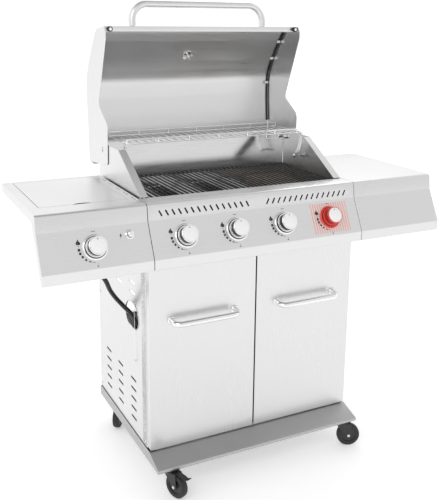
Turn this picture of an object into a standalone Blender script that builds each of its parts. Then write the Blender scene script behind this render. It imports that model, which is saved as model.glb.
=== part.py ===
"""A gas barbecue grill on a two-door cabinet, as an assembly of separate sheet-metal, wire and cast pieces.

Lengths are metres and +Z is up. The shapes are drawn in the grill's own frame: x = 0 is the middle, y = 0 is the
front face of the doors with +y towards the back, and z = 0 is the ground. The empty named grill then moves all of it
so that the middle of the bounding box stands on the origin. The lid is drawn open, which is the rest pose.
"""

import math

import bmesh
import bpy
from mathutils import Matrix, Vector
from mathutils.geometry import tessellate_polygon

# Overall
FRONT_SHIFT = -0.2325  # where the doors' front face lies, from the middle of the bounding box
FLOOR_SHIFT = 0.0105  # the floor lies this far below the zero of the heights used here
SHEET = 0.0015
HALF_WIDTH = 0.7135  # outer ends of the side shelves
BODY_HALF = 0.377  # outside of the cabinet's side panels
BODY_BACK = 0.504

# Base pan and casters
PAN_HALF, PAN_BACK, PAN_FRONT = 0.380, 0.506, -0.076
PAN_BOTTOM, PAN_TOP, APRON_LIP = 0.082, 0.1175, 0.0935
CASTER_X, CASTER_FRONT_Y, CASTER_BACK_Y = 0.330, -0.051, 0.430
CASTER_PLATE = 0.048
WHEEL_RADIUS, WHEEL_WIDTH, WHEEL_BORE = 0.0405, 0.024, 0.0045
HUB_Z = 0.030
TRAIL = 0.030  # from the swivel's axis to the wheel's axle
CASTERS = {  # x, y, and the heading of the trail in degrees from +X
    "front_left": (-CASTER_X, CASTER_FRONT_Y, -68),
    "front_right": (CASTER_X, CASTER_FRONT_Y, -24),
    "back_left": (-CASTER_X, CASTER_BACK_Y, -125),
    "back_right": (CASTER_X, CASTER_BACK_Y, 53),
}

# Front face of the control panel and of both shelves, as (y, z) down the front
SHELF_TOP = 0.941
PANEL_BEND = (-0.001, 0.888)
PANEL_KNEE = (-0.054, 0.782)
PANEL_FOOT = (-0.054, 0.749)
PANEL_HALF = 0.3765
SHELF_INNER = 0.3785
SHELF_BACK, SHELF_SKIRT = 0.4645, 0.912

# Controls
KNOB_X = (-0.2625, -0.0875, 0.0875, 0.2625)
SIDE_KNOB_X, IGNITER_X = -0.549, -0.440
KNOB_Z, IGNITER_Z = 0.8375, 0.8600
STEM_RADIUS = 0.004
BURNER_Z = 0.862
MANIFOLD_END = -0.350

# Firebox
BOX_HALF = 0.3715
BOX_FRONT, BOX_BACK = 0.080, 0.4615
BOX_TOP, BOX_BOTTOM = 1.059, 0.800
SLOPE_TOP_Y, SLOPE_FOOT_Z = 0.276, 0.9435
FLANGE = 0.026
GRATE_TOP, GRATE_THICK = 0.930, 0.006

# Lid, open
HINGE = (0.438, 1.036)  # (y, z) of the lid's axis
LID_SIDE_INNER = 0.3730
LID_SHELL_HALF = 0.3720
LID_PATH = (
    (0.3950, 1.4345), (0.3870, 1.4345), (0.3870, 1.4530), (0.4650, 1.4430), (0.4830, 1.4330), (0.5120, 1.4000),
    (0.5370, 1.3670), (0.5665, 1.3260), (0.5890, 1.2860), (0.6000, 1.2520), (0.6000, 1.1900), (0.5920, 1.0850),
    (0.5870, 0.9680), (0.5400, 0.9660),
)
LID_SIDE_OUTLINE = (
    (0.3870, 1.4530), (0.4650, 1.4430), (0.4830, 1.4330), (0.5120, 1.4000), (0.5370, 1.3670), (0.5665, 1.3260),
    (0.5890, 1.2860), (0.6000, 1.2520), (0.6000, 1.1900), (0.5920, 1.0850), (0.5870, 0.9680), (0.3860, 0.9900),
    (0.3780, 0.9980), (0.3730, 1.1200), (0.3800, 1.1350),
    (0.4560, 1.1830), (0.4590, 1.1990), (0.3720, 1.4120), (0.3720, 1.4345),
)

# Warming rack
LEG_PIVOT = (0.335, 0.980)
RACK_PIVOT = (0.290, 1.068)
RACK_HALF, RACK_FRONT, RACK_BACK, RACK_Z = 0.3405, 0.298, 0.472, 1.075
LEG_INNER, LEG_THICK = 0.3425, 0.002

# Side burner
WELL = (-0.6815, -0.4085, 0.0875, 0.4465)  # opening in the left shelf: x low, x high, y low, y high
SIDE_LID = (-0.6800, -0.4100, 0.0890, 0.4450)
SIDE_LID_SKIRT = 0.014
BURNER_CENTRE = (-0.545, 0.267)

# Doors
DOOR_OUTER, DOOR_GAP, DOOR_DEPTH = 0.3765, 0.0025, 0.022
DOOR_BOTTOM, DOOR_TOP = 0.1225, 0.7455
DOOR_AXIS = (0.3720, 0.018)
DOOR_HANDLE_X, DOOR_HANDLE_HALF, DOOR_HANDLE_Z = 0.191, 0.112, 0.559
DOOR_HANDLE_REACH, DOOR_TUBE = 0.036, 0.0095

# Lid handle and gauge
LID_HANDLE_HALF, LID_HANDLE_Y, LID_HANDLE_FOOT, LID_HANDLE_TOP = 0.2540, 0.445, 1.4465, 1.5265
LID_TUBE, LID_BEND = 0.0125, 0.056

# Hose
HOSE_RADIUS = 0.0075
HOSE_HOLE = (0.1505, 0.5335, 0.064, 0.0478)  # centre y, centre z, half-length, half-height
HOSE_ROUTE = (
    (SIDE_KNOB_X, 0.0585, 0.8150), (SIDE_KNOB_X, 0.0850, 0.8145), (SIDE_KNOB_X, 0.112, 0.8060),
    (-0.542, 0.135, 0.785), (-0.524, 0.142, 0.752), (-0.499, 0.136, 0.714), (-0.470, 0.137, 0.672),
    (-0.449, 0.156, 0.6296), (-0.427, 0.1733, 0.5961), (-0.408, 0.1802, 0.5715), (-0.391, 0.1800, 0.5510),
    (-0.377, 0.1720, 0.5342), (-0.367, 0.1620, 0.5169), (-0.360, 0.1535, 0.4942), (-0.354, 0.148, 0.468),
    (-0.344, 0.140, 0.440), (-0.325, 0.130, 0.418), (-0.298, 0.116, 0.410), (-0.270, 0.101, 0.418),
    (-0.251, 0.088, 0.441), (-0.244, 0.076, 0.476), (-0.248, 0.065, 0.530), (-0.265, 0.057, 0.595),
    (-0.290, 0.051, 0.655), (-0.316, 0.044, 0.707), (-0.338, 0.034, 0.749), (MANIFOLD_END, 0.0245, 0.782),
    (MANIFOLD_END, 0.024, 0.8012),
)
STICK_PEG = (0.120, 0.587)  # (y, z) of the peg that the lighting stick hangs on

# Finishes: colour, roughness, metallic
STEEL = ((0.78, 0.78, 0.77), 0.30, 1.0)
POLISHED = ((0.82, 0.82, 0.82), 0.12, 1.0)
CHROME = ((0.88, 0.88, 0.88), 0.06, 1.0)
GREY_STEEL = ((0.42, 0.42, 0.42), 0.40, 1.0)
BLACK_METAL = ((0.03, 0.03, 0.03), 0.45, 0.6)
CAST_IRON = ((0.06, 0.06, 0.06), 0.60, 0.8)
BRASS = ((0.72, 0.55, 0.25), 0.35, 1.0)
RUBBER = ((0.02, 0.02, 0.02), 0.75, 0.0)
RED = ((0.85, 0.12, 0.08), 0.30, 0.0)
CERAMIC = ((0.62, 0.52, 0.42), 0.90, 0.0)

PLANES = {"X": (1, 2, 0), "Y": (0, 2, 1), "Z": (0, 1, 2)}  # the two drawn coordinates, then the extruded one


def place(axis, u, v, w):
    first, second, third = PLANES[axis]
    point = [0.0, 0.0, 0.0]
    point[first], point[second], point[third] = u, v, w
    return point


def extruded(outline, axis, low, high, holes=()):
    """A flat outline with holes, drawn across the axis and solid from low to high along it."""
    mesh = bmesh.new()
    loops = [list(outline), *map(list, holes)]
    rings = [[[mesh.verts.new(place(axis, u, v, w)) for u, v in loop] for w in (low, high)] for loop in loops]
    for bottom, top in rings:
        for i, j in enumerate([*range(1, len(bottom)), 0]):
            mesh.faces.new((bottom[i], bottom[j], top[j], top[i]))
    for side in (0, 1):
        if not holes:
            mesh.faces.new(rings[0][side])
            continue
        corners = [vertex for pair in rings for vertex in pair[side]]
        for triangle in tessellate_polygon([[Vector((u, v, 0)) for u, v in loop] for loop in loops]):
            mesh.faces.new([corners[i] for i in triangle])
    bmesh.ops.recalc_face_normals(mesh, faces=mesh.faces)
    return mesh


def rectangle(low_u, high_u, low_v, high_v):
    return ((low_u, low_v), (high_u, low_v), (high_u, high_v), (low_u, high_v))


def box(low_x, high_x, low_y, high_y, low_z, high_z):
    return extruded(rectangle(low_x, high_x, low_y, high_y), "Z", low_z, high_z)


def ellipse(centre_u, centre_v, half_u, half_v, sides):
    angles = [2 * math.pi * i / sides for i in range(sides)]
    return [(centre_u + half_u * math.cos(a), centre_v + half_v * math.sin(a)) for a in angles]


def arc(centre, radius, start, end, steps):
    """Points on a circle, with the angles in degrees."""
    angles = [math.radians(start + (end - start) * i / steps) for i in range(steps + 1)]
    return [(centre[0] + radius * math.cos(a), centre[1] + radius * math.sin(a)) for a in angles]


def bent_sheet(path, thickness):
    """The closed outline of a sheet whose outer face follows the path, with its thickness on the path's left."""
    points = [Vector(p) for p in path]
    inner = []
    for i, point in enumerate(points):
        before = (point - points[i - 1]).normalized() if i else None
        after = (points[i + 1] - point).normalized() if i < len(points) - 1 else None
        before, after = before or after, after or before
        left = Vector((-before.y, before.x)) + Vector((-after.y, after.x))
        inner.append(tuple(point + left * thickness / (left.length_squared / 2)))
    return [*path, *reversed(inner)]


def turned(profile, sides, frame=None):
    """Turns (radius, height) points about +Z. A profile that ends on the axis is solid, any other is a ring."""
    mesh = bmesh.new()
    rings = []
    for radius, height in profile:
        count = sides if radius > 0 else 1
        angles = [2 * math.pi * i / count for i in range(count)]
        rings.append([mesh.verts.new((radius * math.cos(a), radius * math.sin(a), height)) for a in angles])
    closed = profile[0][0] > 0
    for near, far in zip(rings, [*rings[1:], rings[0]] if closed else rings[1:]):
        for i in range(sides):
            j = (i + 1) % sides
            corners = [near[i % len(near)], near[j % len(near)], far[j % len(far)], far[i % len(far)]]
            mesh.faces.new(list(dict.fromkeys(corners)))
    bmesh.ops.recalc_face_normals(mesh, faces=mesh.faces)
    if frame:
        bmesh.ops.transform(mesh, matrix=frame, verts=mesh.verts)
    return mesh


def rod(start, end, radius, sides=8):
    """A straight round bar between two points."""
    start, end = Vector(start), Vector(end)
    turn = (end - start).to_track_quat("Z", "Y").to_matrix().to_4x4()
    length = (end - start).length
    profile = ((0, 0), (radius, 0), (radius, length), (0, length))
    return turned(profile, sides, Matrix.Translation(start) @ turn)


def joined(shapes):
    """Several shapes that don't overlap, as one mesh."""
    whole = bmesh.new()
    for shape in shapes:
        mesh = bpy.data.meshes.new("shape")
        shape.to_mesh(mesh)
        shape.free()
        whole.from_mesh(mesh)
        bpy.data.meshes.remove(mesh)
    return whole


def give_material(obj, finish):
    colour, roughness, metallic = finish
    material = bpy.data.materials.new(obj.name)
    material.use_nodes = True
    shader = material.node_tree.nodes["Principled BSDF"]
    shader.inputs["Base Color"].default_value = (*colour, 1)
    shader.inputs["Roughness"].default_value = roughness
    shader.inputs["Metallic"].default_value = metallic
    obj.data.materials.append(material)


def add_part(name, shape, finish, origin=(0, 0, 0), smooth=False):
    """A sub-part from a shape drawn in the grill's frame, with its origin on the point that it turns about."""
    bmesh.ops.translate(shape, verts=shape.verts, vec=-Vector(origin))
    mesh = bpy.data.meshes.new(name)
    shape.to_mesh(mesh)
    shape.free()
    if smooth:
        mesh.shade_smooth()
        mesh.set_sharp_from_angle(angle=math.radians(40))
    obj = bpy.data.objects.new(name, mesh)
    obj.location = origin
    obj.parent = bpy.data.objects["grill"]
    bpy.context.collection.objects.link(obj)
    give_material(obj, finish)
    return obj


def combine(target, operation, label, shape):
    """Cuts a shape from the target, or unites it with the target, through a hidden helper object."""
    mesh = bpy.data.meshes.new(label)
    shape.to_mesh(mesh)
    shape.free()
    helper = bpy.data.objects.new(f"{target.name}.{label}", mesh)
    helper.parent = bpy.data.objects["grill"]
    helper.hide_render = True
    helper.display_type = "WIRE"
    bpy.context.collection.objects.link(helper)
    modifier = target.modifiers.new(label, "BOOLEAN")
    modifier.operation = operation
    modifier.solver = "EXACT"
    modifier.object = helper


def cut(target, label, shape):
    combine(target, "DIFFERENCE", label, shape)


def fuse(target, label, shape):
    combine(target, "UNION", label, shape)


def add_tube(name, points, radius, finish, resolution=2, origin=(0, 0, 0)):
    """A round tube with closed ends along the points."""
    curve = bpy.data.curves.new(name, "CURVE")
    curve.dimensions = "3D"
    curve.bevel_depth = radius
    curve.bevel_resolution = resolution
    curve.use_fill_caps = True
    spline = curve.splines.new("POLY")
    spline.points.add(len(points) - 1)
    for target, point in zip(spline.points, points):
        target.co = (*(Vector(point) - Vector(origin)), 1)
    obj = bpy.data.objects.new(name, curve)
    obj.location = origin
    obj.parent = bpy.data.objects["grill"]
    bpy.context.collection.objects.link(obj)
    give_material(obj, finish)
    return obj


def smooth_route(points, spacing):
    """Evenly spaced points on a smooth curve through the given ones."""
    points = [Vector(p) for p in points]
    ends = [2 * points[0] - points[1], *points, 2 * points[-1] - points[-2]]
    fine = []
    for before, start, end, after in zip(ends, ends[1:], ends[2:], ends[3:]):
        for step in range(12):
            t = step / 12
            fine.append(0.5 * (2 * start + (end - before) * t + (2 * before - 5 * start + 4 * end - after) * t**2
                               + (3 * start - before - 3 * end + after) * t**3))
    fine.append(points[-1])
    lengths = [(b - a).length for a, b in zip(fine, fine[1:])]
    count = round(sum(lengths) / spacing)
    route, walked, i = [fine[0]], 0.0, 0
    for k in range(1, count):
        goal = sum(lengths) * k / count
        while walked + lengths[i] < goal:
            walked += lengths[i]
            i += 1
        route.append(fine[i].lerp(fine[i + 1], (goal - walked) / lengths[i]))
    return [*route, fine[-1]]


def front_profile(inset=0.0):
    """The shared front of the panel and shelves, from the top edge to the foot, as (y, z)."""
    rounded = arc((0.016, SHELF_TOP - 0.012), 0.012 - inset, 90, 165, 3)
    return [
        *rounded,
        (PANEL_BEND[0] + inset, PANEL_BEND[1] + inset / 4),
        (PANEL_KNEE[0] + inset, PANEL_KNEE[1] + inset / 4),
        (PANEL_FOOT[0] + inset, PANEL_FOOT[1] + inset),
    ]


def panel_frame(x, z):
    """A frame on the sloping control face: its z axis points out of the face and its x axis is the grill's."""
    share = (z - PANEL_KNEE[1]) / (PANEL_BEND[1] - PANEL_KNEE[1])
    y = PANEL_KNEE[0] + share * (PANEL_BEND[0] - PANEL_KNEE[0])
    up = Vector((0, PANEL_BEND[0] - PANEL_KNEE[0], PANEL_BEND[1] - PANEL_KNEE[1])).normalized()
    across = Vector((1, 0, 0))
    out = across.cross(up)
    turn = Matrix((across, up, out)).transposed().to_4x4()
    return Matrix.Translation((x, y, z)) @ turn


def face_point(x, z, height):
    return panel_frame(x, z) @ Vector((0, 0, height))


# Base and casters


def make_base_pan():
    slope = (PAN_TOP - APRON_LIP) / -PAN_FRONT
    outer = ((PAN_BACK, PAN_BOTTOM), (PAN_BACK, PAN_TOP), (0, PAN_TOP), (PAN_FRONT, APRON_LIP), (PAN_FRONT, PAN_BOTTOM))
    floor = PAN_BOTTOM + SHEET
    inner = (
        (PAN_BACK - SHEET, floor), (PAN_BACK - SHEET, PAN_TOP + 0.02), (0.006, PAN_TOP + 0.02),
        (0.006, PAN_TOP - SHEET), (0, PAN_TOP - SHEET), (PAN_FRONT + SHEET, APRON_LIP - SHEET + slope * SHEET),
        (PAN_FRONT + SHEET, floor),
    )
    pan = add_part("base_pan", extruded(outer, "X", -PAN_HALF, PAN_HALF), GREY_STEEL)
    cut(pan, "inside", extruded(inner, "X", -PAN_HALF + SHEET, PAN_HALF - SHEET))
    half = CASTER_PLATE / 2
    plates = [box(x - half, x + half, y - half, y + half, PAN_BOTTOM - 0.0035, PAN_BOTTOM + 0.001)
              for x, y, _ in CASTERS.values()]
    fuse(pan, "caster_plates", joined(plates))


def caster_frame(x, y, heading):
    """A frame at the ground under the swivel: +X follows the trail, so the axle lies along Y."""
    return Matrix.Translation((x, y, 0)) @ Matrix.Rotation(math.radians(heading), 4, "Z")


def make_caster(place_name, x, y, heading):
    frame = caster_frame(x, y, heading)
    leg_low, leg_high = WHEEL_WIDTH / 2 + 0.0015, WHEEL_WIDTH / 2 + 0.0040
    crown = turned(((0, 0.0735), (0.021, 0.0735), (0.021, 0.0775), (0, 0.0775)), 16, frame)
    fork = add_part(f"caster_fork_{place_name}", crown, BLACK_METAL, (x, y, 0.0755))
    leg = ((-0.018, 0.0760), (0.038, 0.0760), (TRAIL + 0.009, HUB_Z), (TRAIL + 0.005, HUB_Z - 0.007),
           (TRAIL - 0.005, HUB_Z - 0.007), (TRAIL - 0.009, HUB_Z))
    legs = joined([extruded(leg, "Y", side * leg_low, side * leg_high) for side in (-1, 1)])
    bmesh.ops.transform(legs, matrix=frame, verts=legs.verts)
    fuse(fork, "legs", legs)
    bridge = box(-0.018, 0.038, -leg_high, leg_high, 0.0738, 0.0758)
    bmesh.ops.transform(bridge, matrix=frame, verts=bridge.verts)
    fuse(fork, "bridge", bridge)
    axle_reach = leg_high + 0.002
    axle = rod(frame @ Vector((TRAIL, -axle_reach, HUB_Z)), frame @ Vector((TRAIL, axle_reach, HUB_Z)),
               WHEEL_BORE - 0.0007)
    fuse(fork, "axle", axle)

    half = WHEEL_WIDTH / 2
    tyre = ((WHEEL_BORE, -half), (WHEEL_RADIUS - 0.004, -half), (WHEEL_RADIUS, -half + 0.004),
            (WHEEL_RADIUS, half - 0.004), (WHEEL_RADIUS - 0.004, half), (WHEEL_BORE, half))
    stand = frame @ Matrix.Translation((TRAIL, 0, HUB_Z)) @ Matrix.Rotation(math.pi / 2, 4, "X")
    centre = frame @ Vector((TRAIL, 0, HUB_Z))
    add_part(f"caster_wheel_{place_name}", turned(tyre, 24, stand), RUBBER, centre, smooth=True)


def make_brake_lever():
    """The tab that locks the front left wheel, above the tyre and ahead of the fork."""
    x, y, heading = CASTERS["front_left"]
    frame = caster_frame(x, y, heading)
    tab = ((0.0405, 0.0745), (0.058, 0.0725), (0.073, 0.0690), (0.087, 0.0760), (0.0862, 0.0778), (0.0725, 0.0710),
           (0.058, 0.0745), (0.0405, 0.0765))
    lever = extruded(tab, "Y", -0.009, 0.009)
    bmesh.ops.transform(lever, matrix=frame, verts=lever.verts)
    add_part("brake_lever", lever, BLACK_METAL, frame @ Vector((0.0405, 0, 0.0755)))


# Cabinet


def make_cabinet_side(side_name, side):
    outline = rectangle(DOOR_DEPTH + 0.0045, BODY_BACK, PAN_BOTTOM + 0.003, 0.918)
    faces = sorted((side * BODY_HALF, side * (BODY_HALF - SHEET)))
    panel = add_part(f"cabinet_side_{side_name}", extruded(outline, "X", *faces), STEEL)
    flange_x = sorted((side * (BODY_HALF - 0.0005), side * (BODY_HALF - 0.030)))
    front_y, back_y = DOOR_DEPTH + 0.0045, BODY_BACK
    flanges = [box(*flange_x, front_y, front_y + SHEET, PAN_BOTTOM + 0.004, PANEL_FOOT[1] - 0.009),
               box(*flange_x, back_y - SHEET, back_y, PAN_BOTTOM + 0.004, 0.917)]
    fuse(panel, "flanges", joined(flanges))
    through = sorted((side * (BODY_HALF + 0.01), side * (BODY_HALF - 0.01)))
    slots = [box(*through, y - 0.0245, y + 0.0245, z - 0.004, z + 0.004)
             for y in (0.401, 0.276, 0.1475) for low in (0.1655, 0.6130) for z in [low + 0.0353 * i for i in range(5)]]
    cut(panel, "slots", joined(slots))
    if side < 0:
        cut(panel, "hose_hole", extruded(ellipse(*HOSE_HOLE, 20), "X", *through))
        y, z = STICK_PEG
        fuse(panel, "peg", rod((-BODY_HALF + 0.001, y, z), (-BODY_HALF - 0.0075, y, z), 0.0018))


def make_cabinet_back():
    sheet = box(-0.3740, 0.3740, BODY_BACK - 0.0045, BODY_BACK - 0.0030, PAN_BOTTOM + 0.003, 0.400)
    back = add_part("cabinet_back", sheet, STEEL)
    fuse(back, "stiffener", box(-0.3740, 0.3740, BODY_BACK - 0.0240, BODY_BACK - 0.0035, 0.3986, 0.4002))


def make_hose_grommet():
    y, z, half_y, half_z = HOSE_HOLE
    outer = ellipse(y, z, half_y - 0.0005, half_z - 0.0005, 20)
    inner = ellipse(y, z, half_y - 0.0030, half_z - 0.0030, 20)
    add_part("hose_grommet", extruded(outer, "X", -BODY_HALF - 0.002, -BODY_HALF + 0.0035, holes=[inner]), STEEL)


# Firebox


def make_firebox_tub():
    path = ((BOX_FRONT, 0.938), (BOX_FRONT, 0.815), (0.235, 0.792), (0.305, 0.792), (BOX_BACK, 0.815),
            (BOX_BACK, 1.058), (BOX_BACK + 0.014, 1.058))
    half = BOX_HALF - 0.0025
    tub = add_part("firebox_tub", extruded(bent_sheet(path, SHEET), "X", -half, half), POLISHED)
    cut(tub, "drain", box(-0.060, 0.060, 0.245, 0.295, 0.780, 0.805))
    cut(tub, "burner_ports", joined([rod((x, 0.070, BURNER_Z), (x, 0.090, BURNER_Z), 0.0115, 12) for x in KNOB_X]))
    ledges = [box(-half, half, low, high, z - SHEET, z)
              for low, high in ((BOX_FRONT + 0.0008, BOX_FRONT + 0.012), (BOX_BACK - 0.012, BOX_BACK - 0.0008))
              for z in (0.8830, GRATE_TOP - GRATE_THICK - 0.0005)]
    fuse(tub, "ledges", joined(ledges))
    walls = [box(*sorted((side * 0.2015, side * 0.2030)), 0.110, 0.450, 0.7575, 0.8065) for side in (-1, 1)]
    fuse(tub, "tray_rails", joined(walls))
    lips = [box(*sorted((side * 0.1900, side * 0.2025)), 0.110, 0.450, 0.7575, 0.7590) for side in (-1, 1)]
    fuse(tub, "tray_lips", joined(lips))


def make_firebox_side(side_name, side):
    front = BOX_FRONT - 0.0015
    outline = ((front, BOX_BOTTOM), (BOX_BACK + 0.017, BOX_BOTTOM), (BOX_BACK + 0.017, BOX_TOP),
               (SLOPE_TOP_Y, BOX_TOP), (front, SLOPE_FOOT_Z))
    pivot = ellipse(*HINGE, 0.0056, 0.0056, 12)
    faces = sorted((side * BOX_HALF, side * (BOX_HALF - SHEET)))
    wall = add_part(f"firebox_side_{side_name}", extruded(outline, "X", *faces, holes=[pivot]), STEEL)
    slope = bent_sheet(((SLOPE_TOP_Y, BOX_TOP), (front, SLOPE_FOOT_Z)), SHEET)
    fuse(wall, "flange", extruded(slope, "X", *sorted((side * (BOX_HALF - 0.0005), side * (BOX_HALF - FLANGE)))))


def make_burner(name, x):
    profile = ((0, 0.437), (0.0120, 0.437), (0.0120, 0.105), (0.0090, 0.095), (0.0090, 0.060), (0.0105, 0.060),
               (0.0105, 0.095), (0.0135, 0.105), (0.0135, 0.440), (0.003, 0.442), (0.003, BOX_BACK - 0.0025),
               (0, BOX_BACK - 0.0025))
    frame = Matrix.Translation((x, 0, BURNER_Z)) @ Matrix.Rotation(-math.pi / 2, 4, "X")
    add_part(name, turned(profile, 12, frame), STEEL, smooth=True)


def make_sear_burner(x):
    burner = add_part("sear_burner", box(x - 0.070, x + 0.070, 0.105, 0.440, 0.866, 0.896), CERAMIC)
    cut(burner, "plenum", box(x - 0.067, x + 0.067, 0.108, 0.437, 0.850, 0.886))
    fuse(burner, "throat", rod((x, 0.060, BURNER_Z), (x, 0.200, BURNER_Z), 0.0105, 12))


def make_heat_plate(name, x):
    path = ((x - 0.058, 0.884), (x - 0.050, 0.884), (x, 0.906), (x + 0.050, 0.884), (x + 0.058, 0.884))
    add_part(name, extruded(bent_sheet(path, 0.0012), "Y", BOX_FRONT + 0.0025, BOX_BACK - 0.0025), STEEL)


def add_grid(name, low_u, high_u, low_v, high_v, low_z, high_z, bars, bar_width, border, finish, origin=(0, 0, 0)):
    """A flat grid of bars along y between two cross borders, with this many bars from side to side."""
    grid = add_part(name, box(low_u, high_u, low_v, high_v, low_z, high_z), finish, origin)
    pitch = (high_u - low_u - bar_width) / (bars - 1)
    gaps = [box(low_u + pitch * i + bar_width, low_u + pitch * (i + 1), low_v + border, high_v - border,
                low_z - 0.01, high_z + 0.01) for i in range(bars - 1)]
    cut(grid, "gaps", joined(gaps))
    return grid


def make_grate(name, low_x, high_x):
    add_grid(name, low_x, high_x, BOX_FRONT + 0.0035, BOX_BACK - 0.0035, GRATE_TOP - GRATE_THICK, GRATE_TOP,
             21, 0.006, 0.008, CAST_IRON)


# Control panel, gas train and shelves


def vent_slots():
    """Slanted slots of the upper face, 15 on each side, leaning towards the middle at the foot."""
    slots = []
    for first, lean in ((-0.3380, -1), (0.0350, 1)):
        for i in range(15):
            slot = box(-0.002, 0.002, -0.02, 0.02, -0.0105, 0.0105)
            turn = Matrix.Rotation(math.radians(28 * lean), 4, "Y")
            centre = Matrix.Translation((first + 0.0213 * i + 0.002, 0.001, 0.9085))
            bmesh.ops.transform(slot, matrix=centre @ turn, verts=slot.verts)
            slots.append(slot)
    return joined(slots)


def make_control_panel():
    path = [(BOX_FRONT - 0.0015, 0.920), (BOX_FRONT - 0.0015, SHELF_TOP), *front_profile(), (-0.036, PANEL_FOOT[1])]
    panel = add_part("control_panel", extruded(bent_sheet(path, SHEET), "X", -PANEL_HALF, PANEL_HALF), STEEL)
    cut(panel, "vents", vent_slots())
    holes = [rod(face_point(x, KNOB_Z, -0.01), face_point(x, KNOB_Z, 0.01), 0.0065) for x in KNOB_X]
    cut(panel, "stem_holes", joined(holes))


def valve_shapes(x):
    """A gas valve behind the panel: its body, its stem through the panel and its outlet towards the burner."""
    body = box(x - 0.011, x + 0.011, 0.008, 0.038, 0.806, 0.868)
    stem = rod(face_point(x, KNOB_Z, -0.046), face_point(x, KNOB_Z, 0.0270), STEM_RADIUS)
    outlet = rod((x, 0.036, BURNER_Z), (x, 0.0585, BURNER_Z), 0.005)
    return body, stem, outlet


def make_manifold():
    """The gas rail with a valve for each main burner; its left end turns down to meet the hose."""
    y, z = 0.024, 0.8145
    manifold = add_part("manifold", rod((-0.3585, y, z), (0.330, y, z), 0.0085, 10), BRASS)
    bodies, stems, outlets = zip(*[valve_shapes(x) for x in KNOB_X])
    fuse(manifold, "bodies", joined(bodies))
    fuse(manifold, "stems", joined(stems))
    fuse(manifold, "outlets", joined(outlets))
    fuse(manifold, "elbow", rod((MANIFOLD_END, y, z), (MANIFOLD_END, y, 0.8020), HOSE_RADIUS, 10))


def make_knob(name, x, finish):
    profile = ((0, 0.0285), (0.0048, 0.0285), (0.0048, 0.0055), (0.0310, 0.0055), (0.0315, 0.0090),
               (0.0275, 0.0115), (0.0275, 0.0335), (0.0255, 0.0360), (0, 0.0360))
    frame = panel_frame(x, KNOB_Z)
    add_part(name, turned(profile, 20, frame), finish, frame.translation, smooth=True)


def make_igniter():
    profile = ((0, -0.020), (0.0050, -0.020), (0.0050, 0.0060), (0.0095, 0.0060), (0.0095, 0.0140), (0.0070, 0.0165),
               (0, 0.0170))
    frame = panel_frame(IGNITER_X, IGNITER_Z)
    add_part("igniter_button", turned(profile, 16, frame), CHROME, frame.translation, smooth=True)


def make_shelf(side_name, side):
    """A side shelf: top, front fascia, back skirt and two end plates, open underneath."""
    outline = [*front_profile(), (-0.040, PANEL_FOOT[1]), (0.050, SHELF_SKIRT), (SHELF_BACK, SHELF_SKIRT),
               (SHELF_BACK, SHELF_TOP)]
    hollow = [*front_profile(SHEET), (-0.030, PANEL_FOOT[1] + SHEET), (-0.030, 0.700), (0.300, 0.700),
              (SHELF_BACK - SHEET, 0.850), (SHELF_BACK - SHEET, SHELF_TOP - SHEET)]
    ends = sorted((side * HALF_WIDTH, side * SHELF_INNER))
    shelf = add_part(f"shelf_{side_name}", extruded(outline, "X", *ends), STEEL)
    cut(shelf, "underside", extruded(hollow, "X", ends[0] + SHEET, ends[1] - SHEET))
    return shelf


def open_left_shelf(shelf):
    low_x, high_x, low_y, high_y = WELL
    cut(shelf, "well", box(low_x, high_x, low_y, high_y, SHELF_TOP - 0.01, SHELF_TOP + 0.01))
    controls = ((SIDE_KNOB_X, KNOB_Z), (IGNITER_X, IGNITER_Z))
    holes = [rod(face_point(x, z, -0.01), face_point(x, z, 0.01), 0.0065) for x, z in controls]
    cut(shelf, "control_holes", joined(holes))


# Side burner


def grown(area, by):
    low_x, high_x, low_y, high_y = area
    return low_x - by, high_x + by, low_y - by, high_y + by


def make_side_burner_bowl():
    floor, rim = 0.8785, SHELF_TOP - SHEET - 0.0005
    bowl = add_part("side_burner_bowl", box(*grown(WELL, 0.0030), floor, rim), POLISHED)
    fuse(bowl, "rim", box(*grown(WELL, 0.0130), rim - 0.0012, rim - 0.0001))
    cut(bowl, "inside", box(*grown(WELL, 0.0018), floor + 0.0012, rim + 0.01))
    cut(bowl, "throat_hole", rod((*BURNER_CENTRE, floor - 0.01), (*BURNER_CENTRE, floor + 0.01), 0.020, 16))


def make_side_burner():
    """The cast head in the bowl, its mixing tube below, and the valve with its stem through the fascia."""
    x, y = BURNER_CENTRE
    head = ((0, 0.846), (0.016, 0.846), (0.016, 0.886), (0.036, 0.888), (0.040, 0.896), (0.034, 0.903), (0, 0.905))
    burner = add_part("side_burner", turned(head, 20, Matrix.Translation((x, y, 0))), CAST_IRON, smooth=True)
    fuse(burner, "mixing_tube", rod((SIDE_KNOB_X, 0.030, 0.855), (x, y, 0.855), 0.008, 10))
    body, stem, outlet = valve_shapes(SIDE_KNOB_X)
    outlet.free()
    fuse(burner, "valve", body)
    fuse(burner, "stem", stem)
    fuse(burner, "hose_end", rod((SIDE_KNOB_X, 0.030, 0.8150), (SIDE_KNOB_X, 0.0578, 0.8150), HOSE_RADIUS, 10))


def make_side_burner_grate():
    x, y = BURNER_CENTRE
    half_x, half_y, bar = 0.110, 0.130, 0.0055
    grate = add_part("side_burner_grate", box(x - half_x, x + half_x, y - half_y, y + half_y, 0.913, 0.9185), CAST_IRON)
    openings = [box(*sorted((x + i * bar / 2, x + i * (half_x - bar))),
                    *sorted((y + j * bar / 2, y + j * (half_y - bar))), 0.90, 0.93)
                for i in (-1, 1) for j in (-1, 1)]
    cut(grate, "openings", joined(openings))
    legs = [box(*sorted((x + i * (half_x - 0.0005), x + i * (half_x - 0.005))),
                *sorted((y + j * (half_y - 0.0005), y + j * (half_y - 0.005))), 0.8802, 0.9150)
            for i in (-1, 1) for j in (-1, 1)]
    fuse(grate, "legs", joined(legs))


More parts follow.
